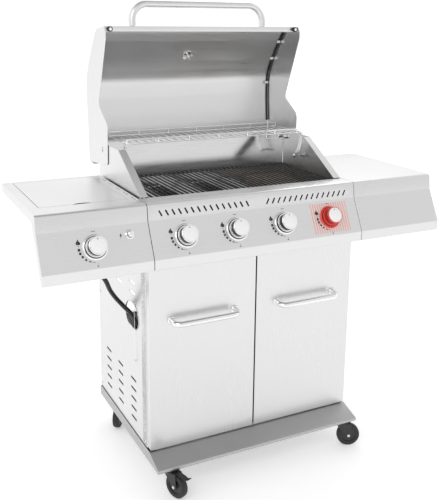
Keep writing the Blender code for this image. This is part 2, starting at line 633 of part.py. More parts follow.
def make_side_burner_lid():
    low_x, high_x, low_y, high_y = SIDE_LID
    origin = (high_x, (low_y + high_y) / 2, SHELF_TOP)
    lid = add_part("side_burner_lid", box(*SIDE_LID, SHELF_TOP - SIDE_LID_SKIRT, SHELF_TOP), STEEL, origin)
    cut(lid, "inside", box(*grown(SIDE_LID, -SHEET), SHELF_TOP - 0.03, SHELF_TOP - SHEET))
    notch = ellipse(-0.5510, low_y, 0.0275, 0.0090, 16)
    cut(lid, "finger_notch", extruded(notch, "Z", SHELF_TOP - 0.03, SHELF_TOP + 0.01))


# Lid


def make_lid():
    shell = extruded(bent_sheet(LID_PATH, -SHEET), "X", -LID_SHELL_HALF, LID_SHELL_HALF)
    shell = add_part("lid_shell", shell, STEEL, (0, *HINGE))
    gauge = gauge_frame()
    cut(shell, "gauge_hole", rod(gauge @ Vector((0, 0, -0.02)), gauge @ Vector((0, 0, 0.02)), 0.0070))
    for side_name, side in (("left", -1), ("right", 1)):
        faces = sorted((side * LID_SIDE_INNER, side * (LID_SIDE_INNER + SHEET)))
        bore = ellipse(*HINGE, 0.0056, 0.0056, 12)
        plate = extruded(LID_SIDE_OUTLINE, "X", *faces, holes=[bore])
        add_part(f"lid_side_{side_name}", plate, STEEL, (0, *HINGE))
        make_hinge_pin(side_name, side)
        x = side * 0.356
        bumper = turned(((0, 0), (0.0100, 0), (0.0100, 0.0120), (0.0085, 0.0145), (0, 0.0145)), 16,
                        Matrix.Translation((x, 0.3867, 1.4440)) @ Matrix.Rotation(math.pi / 2, 4, "X"))
        add_part(f"lid_bumper_{side_name}", bumper, RUBBER, (0, *HINGE), smooth=True)
    add_lid_handle()
    dial = ((0, -0.030), (0.0025, -0.030), (0.0025, -0.0060), (0.0200, -0.0055), (0.0200, -0.0025), (0.0060, -0.0020),
            (0.0060, 0.0010), (0.0290, 0.0015), (0.0300, 0.0050), (0.0300, 0.0120), (0.0270, 0.0135), (0, 0.0135))
    add_part("lid_gauge", turned(dial, 20, gauge), CHROME, (0, *HINGE), smooth=True)


def gauge_frame():
    """A frame on the outer face of the lid at the thermometer, with its z axis pointing out."""
    low, high = Vector((0, *LID_PATH[7])), Vector((0, *LID_PATH[6]))
    up = (high - low).normalized()
    across = Vector((-1, 0, 0))
    turn = Matrix((across, up, across.cross(up))).transposed().to_4x4()
    return Matrix.Translation((low + high) / 2) @ turn


def make_hinge_pin(side_name, side):
    """A bolt along x: head outside the lid's side, nut inside the firebox."""
    profile = ((0, -0.0110), (0.0080, -0.0110), (0.0080, -0.0030), (0.0050, -0.0030), (0.0050, 0.0035),
               (0.0090, 0.0035), (0.0085, 0.0062), (0, 0.0068))
    frame = Matrix.Translation((side * BOX_HALF, *HINGE)) @ Matrix.Rotation(side * math.pi / 2, 4, "Y")
    add_part(f"hinge_pin_{side_name}", turned(profile, 12, frame), STEEL, frame.translation, smooth=True)


def bent_handle(half, rise, bend, steps):
    """A tube's line from one foot to the other: up, round a quarter circle, across, and down, as (across, out)."""
    right = arc((half - bend, rise - bend), bend, 0, 90, steps)
    left = [(-a, b) for a, b in reversed(right)]
    return [(half, 0), *right, *left, (-half, 0)]


def add_lid_handle():
    line = bent_handle(LID_HANDLE_HALF, LID_HANDLE_TOP - LID_HANDLE_FOOT, LID_BEND, 6)
    points = [(a, LID_HANDLE_Y + 0.10 * b, LID_HANDLE_FOOT + 0.0005 + b) for a, b in line]
    add_tube("lid_handle", points, LID_TUBE, STEEL, 3, (0, *HINGE))


# Warming rack


def make_rack_leg(side_name, side):
    """A curved strap with a bolt to the firebox wall at its foot and a pin for the rack at its head."""
    (foot_y, foot_z), (head_y, head_z) = LEG_PIVOT, RACK_PIVOT
    outline = ((foot_y + 0.007, foot_z - 0.005), (foot_y + 0.006, foot_z + 0.006), (0.318, 1.008), (0.304, 1.040),
               (head_y + 0.008, head_z + 0.002), (head_y + 0.003, head_z + 0.008), (head_y - 0.006, head_z + 0.006),
               (head_y - 0.009, head_z - 0.004), (0.284, 1.030), (0.300, 0.995), (foot_y - 0.008, foot_z - 0.006),
               (foot_y, foot_z - 0.009))
    origin = (side * LEG_INNER, *LEG_PIVOT)
    outer = side * (LEG_INNER + LEG_THICK)
    leg = add_part(f"rack_leg_{side_name}", extruded(outline, "X", *sorted((side * LEG_INNER, outer))), CHROME, origin)
    bolt = rod((side * (LEG_INNER + 0.001), foot_y, foot_z), (side * (BOX_HALF - SHEET - 0.0005), foot_y, foot_z), 0.004)
    pin = rod((side * (LEG_INNER + 0.001), head_y, head_z), (side * (RACK_HALF - 0.0045), head_y, head_z), 0.0030)
    fuse(leg, "bolts", joined([bolt, pin]))


def make_warming_rack():
    rack = add_grid("warming_rack", -RACK_HALF, RACK_HALF, RACK_FRONT, RACK_BACK, RACK_Z - 0.002, RACK_Z + 0.002,
                    26, 0.004, 0.004, CHROME, (0, *RACK_PIVOT))
    posts = [box(x - 0.0015, x + 0.0015, y, y + 0.003, RACK_Z + 0.001, RACK_Z + 0.0150)
             for x in (-0.338, -0.113, 0.113, 0.338) for y in (RACK_FRONT + 0.0005, RACK_BACK - 0.0035)]
    fuse(rack, "posts", joined(posts))
    rails = [box(-RACK_HALF + 0.0005, RACK_HALF - 0.0005, y, y + 0.003, RACK_Z + 0.0125, RACK_Z + 0.0155)
             for y in (RACK_FRONT + 0.0005, RACK_BACK - 0.0035)]
    fuse(rack, "rails", joined(rails))
    y, z = RACK_PIVOT
    ears = [extruded(rectangle(y - 0.008, y + 0.022, z - 0.008, RACK_Z + 0.001), "X",
                     *sorted((side * (RACK_HALF - 0.0020), side * (RACK_HALF - 0.0003))),
                     holes=[ellipse(y, z, 0.0038, 0.0038, 8)]) for side in (-1, 1)]
    fuse(rack, "ears", joined(ears))


# Doors


def make_door(side_name, side):
    inner, outer = side * DOOR_GAP, side * DOOR_OUTER
    low, high = sorted((inner, outer))
    axis_x, axis_y = DOOR_AXIS
    origin = (side * axis_x, axis_y, DOOR_BOTTOM)
    door = add_part(f"door_{side_name}", box(low, high, 0, DOOR_DEPTH, DOOR_BOTTOM, DOOR_TOP), STEEL, origin)
    cut(door, "inside", box(low + SHEET, high - SHEET, SHEET, DOOR_DEPTH + 0.01, DOOR_BOTTOM + SHEET, DOOR_TOP - SHEET))
    line = bent_handle(DOOR_HANDLE_HALF, DOOR_HANDLE_REACH, 0.024, 4)
    points = [(side * DOOR_HANDLE_X + a, -0.0011 - b, DOOR_HANDLE_Z - 0.10 * b) for a, b in line]
    add_tube(f"door_handle_{side_name}", points, DOOR_TUBE, CHROME, 2, origin)


# Drip system and lighting stick


def make_grease_tray():
    half, low_y, high_y = 0.199, 0.105, 0.492
    floor, rim = 0.7605, 0.7850
    tray = add_part("grease_tray", box(-half, half, low_y, high_y, floor, rim), GREY_STEEL)
    cut(tray, "inside", box(-half + SHEET, half - SHEET, low_y + SHEET, high_y - SHEET, floor + SHEET, rim + 0.01))
    cut(tray, "drain", rod((0, 0.270, floor - 0.01), (0, 0.270, floor + 0.01), 0.008, 12))
    hangers = [box(*sorted((side * 0.0415, side * 0.0430)), 0.258, 0.282, 0.7515, 0.7610) for side in (-1, 1)]
    fuse(tray, "hangers", joined(hangers))
    hooks = [box(*sorted((side * 0.0365, side * 0.0425)), 0.258, 0.282, 0.7515, 0.7528) for side in (-1, 1)]
    fuse(tray, "hooks", joined(hooks))


def make_grease_cup():
    wall = ((0, 0.7000), (0.0330, 0.7000), (0.0350, 0.7535), (0.0395, 0.7540), (0.0395, 0.7552), (0.0338, 0.7552),
            (0.0320, 0.7012), (0, 0.7012))
    add_part("grease_cup", turned(wall, 20, Matrix.Translation((0, 0.270, 0))), STEEL, smooth=True)


def make_lighting_stick():
    """A thin steel holder for a match: an eye round the peg, a straight wire, and a small coil at its end."""
    y, z = STICK_PEG
    low, high = -BODY_HALF - 0.0045, -BODY_HALF - 0.0030
    eye = extruded(ellipse(y, z, 0.0050, 0.0050, 12), "X", low, high, holes=[ellipse(y, z, 0.0027, 0.0027, 12)])
    stick = add_part("lighting_stick", eye, CHROME, ((low + high) / 2, y, z))
    middle = (low + high) / 2
    fuse(stick, "wire", rod((middle, y, z - 0.0040), (middle, y, z - 0.1960), 0.0009, 6))
    coil = turned(((0, 0), (0.0030, 0), (0.0030, 0.010), (0, 0.010)), 10, Matrix.Translation((middle, y, z - 0.2050)))
    fuse(stick, "coil", coil)


def main():
    for obj in list(bpy.data.objects):
        bpy.data.objects.remove(obj)
    grill = bpy.data.objects.new("grill", None)
    grill.location = (0, FRONT_SHIFT, FLOOR_SHIFT)
    bpy.context.collection.objects.link(grill)

    make_base_pan()
    for place_name, (x, y, heading) in CASTERS.items():
        make_caster(place_name, x, y, heading)
    make_brake_lever()
    make_cabinet_back()
    make_hose_grommet()
    make_firebox_tub()
    for side_name, side in (("left", -1), ("right", 1)):
        make_cabinet_side(side_name, side)
        make_firebox_side(side_name, side)
        make_rack_leg(side_name, side)
        make_door(side_name, side)
    for name, x in zip(("left", "middle", "right"), KNOB_X):
        make_burner(f"burner_{name}", x)
        make_heat_plate(f"heat_plate_{name}", x)
        make_knob(f"knob_{name}", x, CHROME)
    make_sear_burner(KNOB_X[3])
    make_knob("knob_sear", KNOB_X[3], RED)
    make_knob("knob_side", SIDE_KNOB_X, CHROME)
    make_grate("grate_left", -0.3665, -0.0015)
    make_grate("grate_right", 0.0015, 0.3665)
    make_control_panel()
    make_manifold()
    make_igniter()
    open_left_shelf(make_shelf("left", -1))
    make_shelf("right", 1)
    make_side_burner_bowl()
    make_side_burner()
    make_side_burner_grate()
    make_side_burner_lid()
    add_tube("gas_hose", smooth_route(HOSE_ROUTE, 0.018), HOSE_RADIUS, RUBBER)
    make_lid()
    make_warming_rack()
    make_grease_tray()
    make_grease_cup()
    make_lighting_stick()


main()
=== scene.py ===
"""The detailed look of a stainless steel gas barbecue grill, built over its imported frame."""
import math

import bmesh
import bpy
from mathutils import Matrix, Vector


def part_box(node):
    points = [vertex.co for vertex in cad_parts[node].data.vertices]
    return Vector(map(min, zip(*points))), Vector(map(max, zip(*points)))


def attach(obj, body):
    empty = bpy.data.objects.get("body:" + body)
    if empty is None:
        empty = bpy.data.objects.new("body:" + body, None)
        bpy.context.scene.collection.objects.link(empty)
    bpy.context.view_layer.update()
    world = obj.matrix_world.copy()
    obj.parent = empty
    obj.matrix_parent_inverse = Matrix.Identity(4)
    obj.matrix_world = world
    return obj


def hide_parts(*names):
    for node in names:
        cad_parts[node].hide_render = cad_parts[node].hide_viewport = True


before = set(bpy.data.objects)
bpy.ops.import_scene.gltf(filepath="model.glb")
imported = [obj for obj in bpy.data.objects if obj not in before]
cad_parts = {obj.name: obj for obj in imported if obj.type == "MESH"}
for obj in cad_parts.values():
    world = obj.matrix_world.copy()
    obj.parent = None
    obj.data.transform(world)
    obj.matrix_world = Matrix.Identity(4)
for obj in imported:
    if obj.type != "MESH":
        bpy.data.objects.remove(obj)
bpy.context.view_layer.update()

DOOR_FOOT = 0.1225
# Shapes are drawn with the doors' front face at y = 0 and their lower edge at z = DOOR_FOOT, then shifted.
ORIGIN = Vector((0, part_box("door_left")[0].y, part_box("door_left")[0].z - DOOR_FOOT))

SHEET = 0.0015
SIDES = (("left", -1), ("right", 1))


def span(node):
    """A node's lowest and highest corners, in the frame that the shapes are drawn in."""
    return [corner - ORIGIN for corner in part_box(node)]


# Camera


def make_camera():
    camera = bpy.data.objects.new("camera", bpy.data.cameras.new("camera"))
    bpy.context.collection.objects.link(camera)
    right = Vector((0.8943, -0.4474, 0.0111))
    forward = Vector((0.4382, 0.8703, -0.2247)).normalized()
    up = right.cross(forward).normalized()
    right = forward.cross(up)
    turn = Matrix((right, up, -forward)).transposed().to_4x4()
    camera.matrix_world = Matrix.Translation(ORIGIN + Vector((-1.1621, -2.0288, 1.4888))) @ turn
    camera.data.sensor_width = 36.0
    camera.data.lens = 54.08
    camera.data.shift_y = -0.1214
    camera.data.clip_end = 50.0
    bpy.context.scene.camera = camera


# Materials


def node(tree, kind, inputs=(), **settings):
    made = tree.nodes.new(kind)
    for key, value in settings.items():
        setattr(made, key, value)
    for key, value in dict(inputs).items():
        if isinstance(value, bpy.types.NodeSocket):
            tree.links.new(value, made.inputs[key])
        else:
            made.inputs[key].default_value = value
    return made


def ramp(tree, value, low, high, from_low=0.3, from_high=0.7):
    made = node(tree, "ShaderNodeMapRange", {"Value": value, "From Min": from_low, "From Max": from_high,
                                             "To Min": low, "To Max": high})
    return made.outputs["Result"]


def noise(tree, vector, scale, detail=3.0, rough=0.5):
    made = node(tree, "ShaderNodeTexNoise", {"Vector": vector, "Scale": scale, "Detail": detail,
                                             "Roughness": rough})
    return made.outputs["Factor"] if "Factor" in made.outputs else made.outputs[0]


SMUDGE_SCALE = 4.0


def grained(name, colour, roughness, metallic, stretch=(1, 1, 1), grain=400.0, contrast=0.04, spread=0.05,
            bump=0.0, **sockets):
    """A finish whose colour, roughness and surface follow a fine grain and a broad, soft variation."""
    material = bpy.data.materials.new(name)
    material.use_nodes = True
    tree = material.node_tree
    shader = tree.nodes["Principled BSDF"]
    position = node(tree, "ShaderNodeTexCoord").outputs["Object"]
    lines = node(tree, "ShaderNodeMapping", {"Vector": position, "Scale": stretch}).outputs["Vector"]
    fine = noise(tree, lines, grain, 4.0, 0.6)
    broad = noise(tree, position, SMUDGE_SCALE, 3.0)
    shade = node(tree, "ShaderNodeMath", {0: ramp(tree, fine, 1 - contrast, 1 + contrast),
                                          1: ramp(tree, broad, 1 - contrast * 0.6, 1 + contrast * 0.6)},
                 operation="MULTIPLY").outputs[0]
    tint = node(tree, "ShaderNodeVectorMath", {0: colour, 3: shade}, operation="SCALE").outputs[0]
    tree.links.new(tint, shader.inputs["Base Color"])
    rough = node(tree, "ShaderNodeMath", {0: ramp(tree, fine, roughness - spread, roughness + spread),
                                          1: ramp(tree, broad, 0.9, 1.12)}, operation="MULTIPLY",
                 use_clamp=True).outputs[0]
    tree.links.new(rough, shader.inputs["Roughness"])
    shader.inputs["Metallic"].default_value = metallic
    if bump:
        relief = node(tree, "ShaderNodeBump", {"Height": fine, "Strength": 0.5, "Distance": bump})
        tree.links.new(relief.outputs["Normal"], shader.inputs["Normal"])
    for socket, value in sockets.items():
        shader.inputs[socket.replace("_", " ")].default_value = value
    return material


def striped(name, first, second, pitch, roughness, metallic):
    """Vertical stripes along x, with a little unevenness."""
    material = grained(name, first, roughness, metallic, contrast=0.03, spread=0.03)
    tree = material.node_tree
    shader = tree.nodes["Principled BSDF"]
    position = node(tree, "ShaderNodeTexCoord").outputs["Object"]
    across = node(tree, "ShaderNodeSeparateXYZ", {"Vector": position}).outputs["X"]
    wave = node(tree, "ShaderNodeMath", {0: across, 1: 2 * math.pi / pitch}, operation="MULTIPLY").outputs[0]
    wave = node(tree, "ShaderNodeMath", {0: wave}, operation="SINE").outputs[0]
    mix = node(tree, "ShaderNodeMix", {"Factor": ramp(tree, wave, 0.0, 1.0, -0.3, 0.3), 6: (*first, 1),
                                       7: (*second, 1)}, data_type="RGBA")
    tree.links.new(mix.outputs[2], shader.inputs["Base Color"])
    return material


STEEL_TINT = (0.745, 0.745, 0.745)
STEEL_X = grained("steel_brushed_x", STEEL_TINT, 0.3, 1.0, (0.012, 1, 1), 900.0, 0.01, 0.035, 0.000008)
STEEL_Z = grained("steel_brushed_z", STEEL_TINT, 0.3, 1.0, (1, 1, 0.012), 900.0, 0.01, 0.035, 0.000008)
STEEL_Y = grained("steel_brushed_y", STEEL_TINT, 0.3, 1.0, (1, 0.012, 1), 900.0, 0.01, 0.035, 0.000008)
POLISHED = grained("steel_polished", (0.74, 0.74, 0.74), 0.12, 1.0, (0.05, 1, 1), 300.0, 0.03, 0.03)
CHROME = grained("chrome_plate", (0.9, 0.9, 0.9), 0.05, 1.0, (1, 1, 1), 120.0, 0.015, 0.015)
SATIN = grained("knob_front_satin", (0.9, 0.9, 0.9), 0.22, 1.0, (1, 1, 1), 260.0, 0.03, 0.04)
GREY = grained("grey_satin_steel", (0.5, 0.5, 0.5), 0.46, 1.0, (0.02, 1, 1), 600.0, 0.04, 0.05, 0.00002)
BLACK = grained("black_enamel", (0.022, 0.022, 0.023), 0.36, 0.0, (1, 1, 1), 300.0, 0.2, 0.06, 0.00003)
SPECKLE = grained("speckled_edge", (0.52, 0.52, 0.52), 0.55, 0.3, (1, 1, 1), 330.0, 0.6, 0.05, 0.00004)
PRINT = grained("black_print", (0.02, 0.02, 0.02), 0.5, 0.0, (1, 1, 1), 500.0, 0.15, 0.04)
IRON = grained("cast_iron_enamel", (0.03, 0.03, 0.03), 0.45, 0.2, (1, 1, 1), 420.0, 0.3, 0.1, 0.00012)
BRASS = grained("brass_turned", (0.72, 0.54, 0.26), 0.32, 1.0, (1, 1, 1), 300.0, 0.08, 0.06)
RUBBER = grained("rubber_matt", (0.02, 0.02, 0.021), 0.62, 0.0, (1, 1, 1), 500.0, 0.25, 0.08, 0.00004)
HOSE = grained("hose_rubber_gloss", (0.012, 0.012, 0.012), 0.24, 0.0, (1, 1, 1), 260.0, 0.2, 0.06, 0.00002)
RED = grained("red_gloss", (0.72, 0.045, 0.03), 0.2, 0.0, (1, 1, 1), 200.0, 0.05, 0.04, Coat_Weight=0.6,
              Coat_Roughness=0.08)
# Painted reflection: a darker copy of the red gloss, used only for the painted rings on the red knob.
RED_PAINTED_REFLECTION = grained("red_gloss_shaded", (0.3, 0.01, 0.008), 0.3, 0.0, (1, 1, 1), 200.0, 0.05, 0.04)
PORCELAIN = grained("knob_front_white", (0.86, 0.86, 0.86), 0.3, 0.0, (1, 1, 1), 260.0, 0.02, 0.04)
CERAMIC = grained("ceramic_tile", (0.62, 0.52, 0.42), 0.85, 0.0, (1, 1, 1), 200.0, 0.1, 0.05, 0.0004)
DECAL = striped("striped_plate", (0.8, 0.69, 0.675), (0.74, 0.46, 0.42), 0.0092, 0.38, 0.25)
DIAL = grained("dial_face", (0.86, 0.86, 0.84), 0.4, 0.0, (1, 1, 1), 200.0, 0.03, 0.04)

# Shapes

PLANES = {"X": (1, 2, 0), "Y": (0, 2, 1), "Z": (0, 1, 2)}  # the two drawn coordinates, then the extruded one


def place(axis, u, v, w):
    first, second, third = PLANES[axis]
    point = [0.0, 0.0, 0.0]
    point[first], point[second], point[third] = u, v, w
    return point


def extruded(outline, axis, low, high):
    """A flat outline drawn across the axis, solid from low to high along it."""
    mesh = bmesh.new()
    rings = [[mesh.verts.new(place(axis, u, v, w)) for u, v in outline] for w in (low, high)]
    for i, j in enumerate([*range(1, len(outline)), 0]):
        mesh.faces.new((rings[0][i], rings[0][j], rings[1][j], rings[1][i]))
    for ring in rings:
        mesh.faces.new(ring)
    bmesh.ops.recalc_face_normals(mesh, faces=mesh.faces)
    return mesh


def rectangle(low_u, high_u, low_v, high_v, margin=0.0):
    """The four corners, moved out by the margin."""
    low_u, high_u, low_v, high_v = low_u - margin, high_u + margin, low_v - margin, high_v + margin
    return [(low_u, low_v), (high_u, low_v), (high_u, high_v), (low_u, high_v)]


def box(low_x, high_x, low_y, high_y, low_z, high_z):
    return extruded(rectangle(low_x, high_x, low_y, high_y), "Z", low_z, high_z)


def placed(x, y, z, angle, axis):
    """A frame at the point, turned about the axis."""
    return Matrix.Translation((x, y, z)) @ Matrix.Rotation(angle, 4, axis)


def mirrored(side, near, far):
    return sorted((side * near, side * far))


def ellipse(centre_u, centre_v, half_u, half_v, sides):
    angles = [2 * math.pi * i / sides for i in range(sides)]
    return [(centre_u + half_u * math.cos(a), centre_v + half_v * math.sin(a)) for a in angles]


def slot_outline(centre_u, centre_v, half_length, radius, turn=0.0, steps=6):
    """A slot with round ends, its length turned by the angle in degrees from the first coordinate."""
    points = []
    for end in (0, 1):
        for i in range(steps + 1):
            a = math.radians(-90 + 180 * end + 180 * i / steps)
            reach = half_length - radius
            points.append(((-1 if end else 1) * reach + radius * math.cos(a), radius * math.sin(a)))
    c, s = math.cos(math.radians(turn)), math.sin(math.radians(turn))
    return [(centre_u + c * u - s * v, centre_v + s * u + c * v) for u, v in points]


def arc(centre, radius, start, end, steps):
    angles = [math.radians(start + (end - start) * i / steps) for i in range(steps + 1)]
    return [(centre[0] + radius * math.cos(a), centre[1] + radius * math.sin(a)) for a in angles]


def rounded(path, radius, steps=4, closed=False):
    """The path with its corners rounded; a corner takes at most half of the shorter side next to it."""
    points = [Vector(p) for p in path]
    corners = list(zip([points[-1], *points[:-1]], points, [*points[1:], points[0]]))
    made = [] if closed else [points[0]]
    for before, corner, after in corners if closed else corners[1:-1]:
        back, on = before - corner, after - corner
        turn = math.pi - back.angle(on)
        if turn < 0.03:
            made.append(corner)
            continue
        reach = min(radius * math.tan(turn / 2), back.length * 0.49, on.length * 0.49)
        start, end = corner + back.normalized() * reach, corner + on.normalized() * reach
        for i in range(steps + 1):
            t = i / steps
            made.append(start.lerp(corner, t).lerp(corner.lerp(end, t), t))
    return made if closed else [*made, points[-1]]


def sheet(path, thickness, axis, low, high):
    """A bent sheet whose outer face follows the path, with its thickness on the path's left."""
    points = [Vector(p) for p in path]
    inner = []
    for i, point in enumerate(points):
        before = (point - points[i - 1]).normalized() if i else None
        after = (points[i + 1] - point).normalized() if i < len(points) - 1 else None
        before, after = before or after, after or before
        left = Vector((-before.y, before.x)) + Vector((-after.y, after.x))
        inner.append(point + left * thickness / (left.length_squared / 2))
    mesh = bmesh.new()
    rings = [[[mesh.verts.new(place(axis, p.x, p.y, w)) for p in line] for w in (low, high)]
             for line in (points, inner)]
    (outer_low, outer_high), (inner_low, inner_high) = rings
    last = len(points) - 1
    for i in range(last):
        mesh.faces.new((outer_low[i], outer_low[i + 1], outer_high[i + 1], outer_high[i]))
        mesh.faces.new((inner_low[i], inner_low[i + 1], inner_high[i + 1], inner_high[i]))
        mesh.faces.new((outer_low[i], outer_low[i + 1], inner_low[i + 1], inner_low[i]))
        mesh.faces.new((outer_high[i], outer_high[i + 1], inner_high[i + 1], inner_high[i]))
    for i in (0, last):
        mesh.faces.new((outer_low[i], outer_high[i], inner_high[i], inner_low[i]))
    bmesh.ops.recalc_face_normals(mesh, faces=mesh.faces)
    return mesh


def turned(profile, sides=32, matrix=None):
    """(radius, height) points turned about +Z: solid where they start on the axis, and a ring elsewhere."""
    mesh = bmesh.new()
    rings = []
    for radius, height in profile:
        count = sides if radius > 0 else 1
        angles = [2 * math.pi * i / count for i in range(count)]
        rings.append([mesh.verts.new((radius * math.cos(a), radius * math.sin(a), height)) for a in angles])
    closed = profile[0][0] > 0
    for near, far in zip(rings, [*rings[1:], rings[0]] if closed else rings[1:]):
        for i in range(sides):
            j = (i + 1) % sides
            corners = [near[i % len(near)], near[j % len(near)], far[j % len(far)], far[i % len(far)]]
            mesh.faces.new(list(dict.fromkeys(corners)))
    bmesh.ops.recalc_face_normals(mesh, faces=mesh.faces)
    if matrix:
        bmesh.ops.transform(mesh, matrix=matrix, verts=mesh.verts)
    return mesh


def tube(points, radius, sides=12, closed=False):
    """A round bar swept along the points without twist."""
    points = [Vector(p) for p in points]
    count = len(points)
    mesh = bmesh.new()
    rings = []
    normal = None
    for i, point in enumerate(points):
        ahead = points[(i + 1) % count] if closed or i < count - 1 else point
        behind = points[i - 1] if closed or i else point
        along = (ahead - behind).normalized()
        if normal is None:
            normal = along.orthogonal().normalized()
        normal = (normal - along * normal.dot(along)).normalized()
        side = along.cross(normal)
        ring = [point + (normal * math.cos(a) + side * math.sin(a)) * radius
                for a in [2 * math.pi * k / sides for k in range(sides)]]
        rings.append([mesh.verts.new(p) for p in ring])
    for near, far in zip(rings, [*rings[1:], rings[0]] if closed else rings[1:]):
        for k in range(sides):
            m = (k + 1) % sides
            mesh.faces.new((near[k], near[m], far[m], far[k]))
    if not closed:
        mesh.faces.new(rings[0])
        mesh.faces.new(rings[-1])
    bmesh.ops.recalc_face_normals(mesh, faces=mesh.faces)
    return mesh


def rod(start, end, radius, sides=12, chamfer=0.0):
    """A straight round bar, with chamfered ends where asked."""
    start, end = Vector(start), Vector(end)
    turn = (end - start).to_track_quat("Z", "Y").to_matrix().to_4x4()
    length = (end - start).length
    profile = [(0, 0), (radius - chamfer, 0), (radius, chamfer), (radius, length - chamfer),
               (radius - chamfer, length), (0, length)]
    if not chamfer:
        profile = [profile[0], profile[2], profile[3], profile[5]]
    return turned(profile, sides, Matrix.Translation(start) @ turn)


def joined(shapes):
    whole = bmesh.new()
    for shape in shapes:
        mesh = bpy.data.meshes.new("shape")
        shape.to_mesh(mesh)
        shape.free()
        whole.from_mesh(mesh)
        bpy.data.meshes.remove(mesh)
    return whole


def moved(shape, matrix):
    bmesh.ops.transform(shape, matrix=matrix, verts=shape.verts)
    return shape


def linked(name, shape):
    mesh = bpy.data.meshes.new(name)
    shape.to_mesh(mesh)
    shape.free()
    obj = bpy.data.objects.new(name, mesh)
    bpy.context.collection.objects.link(obj)
    return obj


def cut(shape, *others):
    """The shape with each of the others taken away in turn."""
    target = linked("target", shape)
    helpers = [linked("helper", other) for other in others]
    for helper in helpers:
        modifier = target.modifiers.new("cut", "BOOLEAN")
        modifier.operation = "DIFFERENCE"
        modifier.solver = "EXACT"
        modifier.object = helper
    bpy.context.view_layer.update()
    result = bmesh.new()
    evaluated = target.evaluated_get(bpy.context.evaluated_depsgraph_get())
    result.from_mesh(evaluated.data)
    for obj in (target, *helpers):
        mesh = obj.data
        bpy.data.objects.remove(obj)
        bpy.data.meshes.remove(mesh)
    return result


def add(name, shape, body, material, replaces=(), bevel=0.0, crease=35, segments=2):
    """A piece of the grill from a shape, with softened edges, riding on a body of the frame."""
    bmesh.ops.translate(shape, verts=shape.verts, vec=ORIGIN)
    obj = linked(name, shape)
    obj.data.shade_smooth()
    obj.data.set_sharp_from_angle(angle=math.radians(crease))
    obj.data.materials.append(material)
    if bevel:
        soften(obj, bevel, crease, segments)
    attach(obj, body)
    if replaces:
        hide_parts(*replaces)
    return obj


def soften(obj, width, crease=35, segments=2):
    modifier = obj.modifiers.new("soft_edges", "BEVEL")
    modifier.width = width
    modifier.segments = segments
    modifier.limit_method = "ANGLE"
    modifier.angle_limit = math.radians(crease)
    modifier.use_clamp_overlap = True


def dress(name, material):
    """A better finish for a piece of the frame whose shape is right already."""
    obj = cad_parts[name]
    if not obj.material_slots:
        obj.data.materials.append(material)
    for held in obj.material_slots:
        held.material = material


# Front of the panel and the shelves

SHELF_TOP = span("shelf_left")[1].z
PANEL_BEND, PANEL_KNEE, PANEL_FOOT = (-0.001, 0.888), (-0.054, 0.782), (-0.054, 0.749)
PANEL_HALF = span("control_panel")[1].x
HALF_WIDTH, SHELF_INNER = span("shelf_right")[1].x, span("shelf_right")[0].x
SHELF_BACK, SHELF_SKIRT = 0.4645, 0.912
KNOB_X = (-0.2625, -0.0875, 0.0875, 0.2625)
SIDE_KNOB_X, IGNITER_X = -0.549, -0.44
KNOB_Z, IGNITER_Z = 0.8375, 0.86
STEM_HOLE = 0.0065
SLOT_COUNT, SLOT_PITCH, SLOT_Z, SLOT_LEAN = 15, 0.0213, 0.9085, 28


def front_profile(inset=0.0):
    """The outline shared by the panel and the shelves, from the top's front curve down to the foot."""
    top = arc((0.016, SHELF_TOP - 0.012), 0.012 - inset, 90, 165, 6)
    bends = rounded([top[-1], (PANEL_BEND[0] + inset, PANEL_BEND[1] + inset / 4),
                     (PANEL_KNEE[0] + inset, PANEL_KNEE[1] + inset / 4),
                     (PANEL_FOOT[0] + inset, PANEL_FOOT[1] + inset)], 0.008, 4)
    return [*top, *bends[1:]]


def panel_frame(x, z):
    """A frame on the sloping control face: z points out of the face, x runs to the right."""
    share = (z - PANEL_KNEE[1]) / (PANEL_BEND[1] - PANEL_KNEE[1])
    y = PANEL_KNEE[0] + share * (PANEL_BEND[0] - PANEL_KNEE[0])
    up = Vector((0, PANEL_BEND[0] - PANEL_KNEE[0], PANEL_BEND[1] - PANEL_KNEE[1])).normalized()
    across = Vector((1, 0, 0))
    turn = Matrix((across, up, across.cross(up))).transposed().to_4x4()
    return Matrix.Translation((x, y, z)) @ turn


def face_hole(x, z, radius):
    at = panel_frame(x, z)
    return rod(at @ Vector((0, 0, -0.012)), at @ Vector((0, 0, 0.012)), radius, 24)


def make_control_panel():
    back = 0.0785
    path = rounded([(back, 0.92), (back, SHELF_TOP), front_profile()[0]], 0.002, 3)[:-1]
    foot = rounded([front_profile()[-2], PANEL_FOOT, (-0.036, PANEL_FOOT[1])], 0.002, 3)
    path = [*path, *front_profile()[:-1], *foot[1:]]
    panel = sheet(path, SHEET, "X", -PANEL_HALF, PANEL_HALF)
    slots = []
    for first, lean in ((-0.338, -SLOT_LEAN), (0.035, SLOT_LEAN)):
        for i in range(SLOT_COUNT):
            outline = slot_outline(first + SLOT_PITCH * i + 0.002, SLOT_Z, 0.0105, 0.0026, 90 - lean)
            slots.append(extruded(outline, "Y", -0.019, 0.021))
    holes = [face_hole(x, KNOB_Z, STEM_HOLE) for x in KNOB_X]
    add("control_panel_skin", cut(panel, joined(slots), joined(holes)), "frame", STEEL_X, ["control_panel"],
        0.0003)


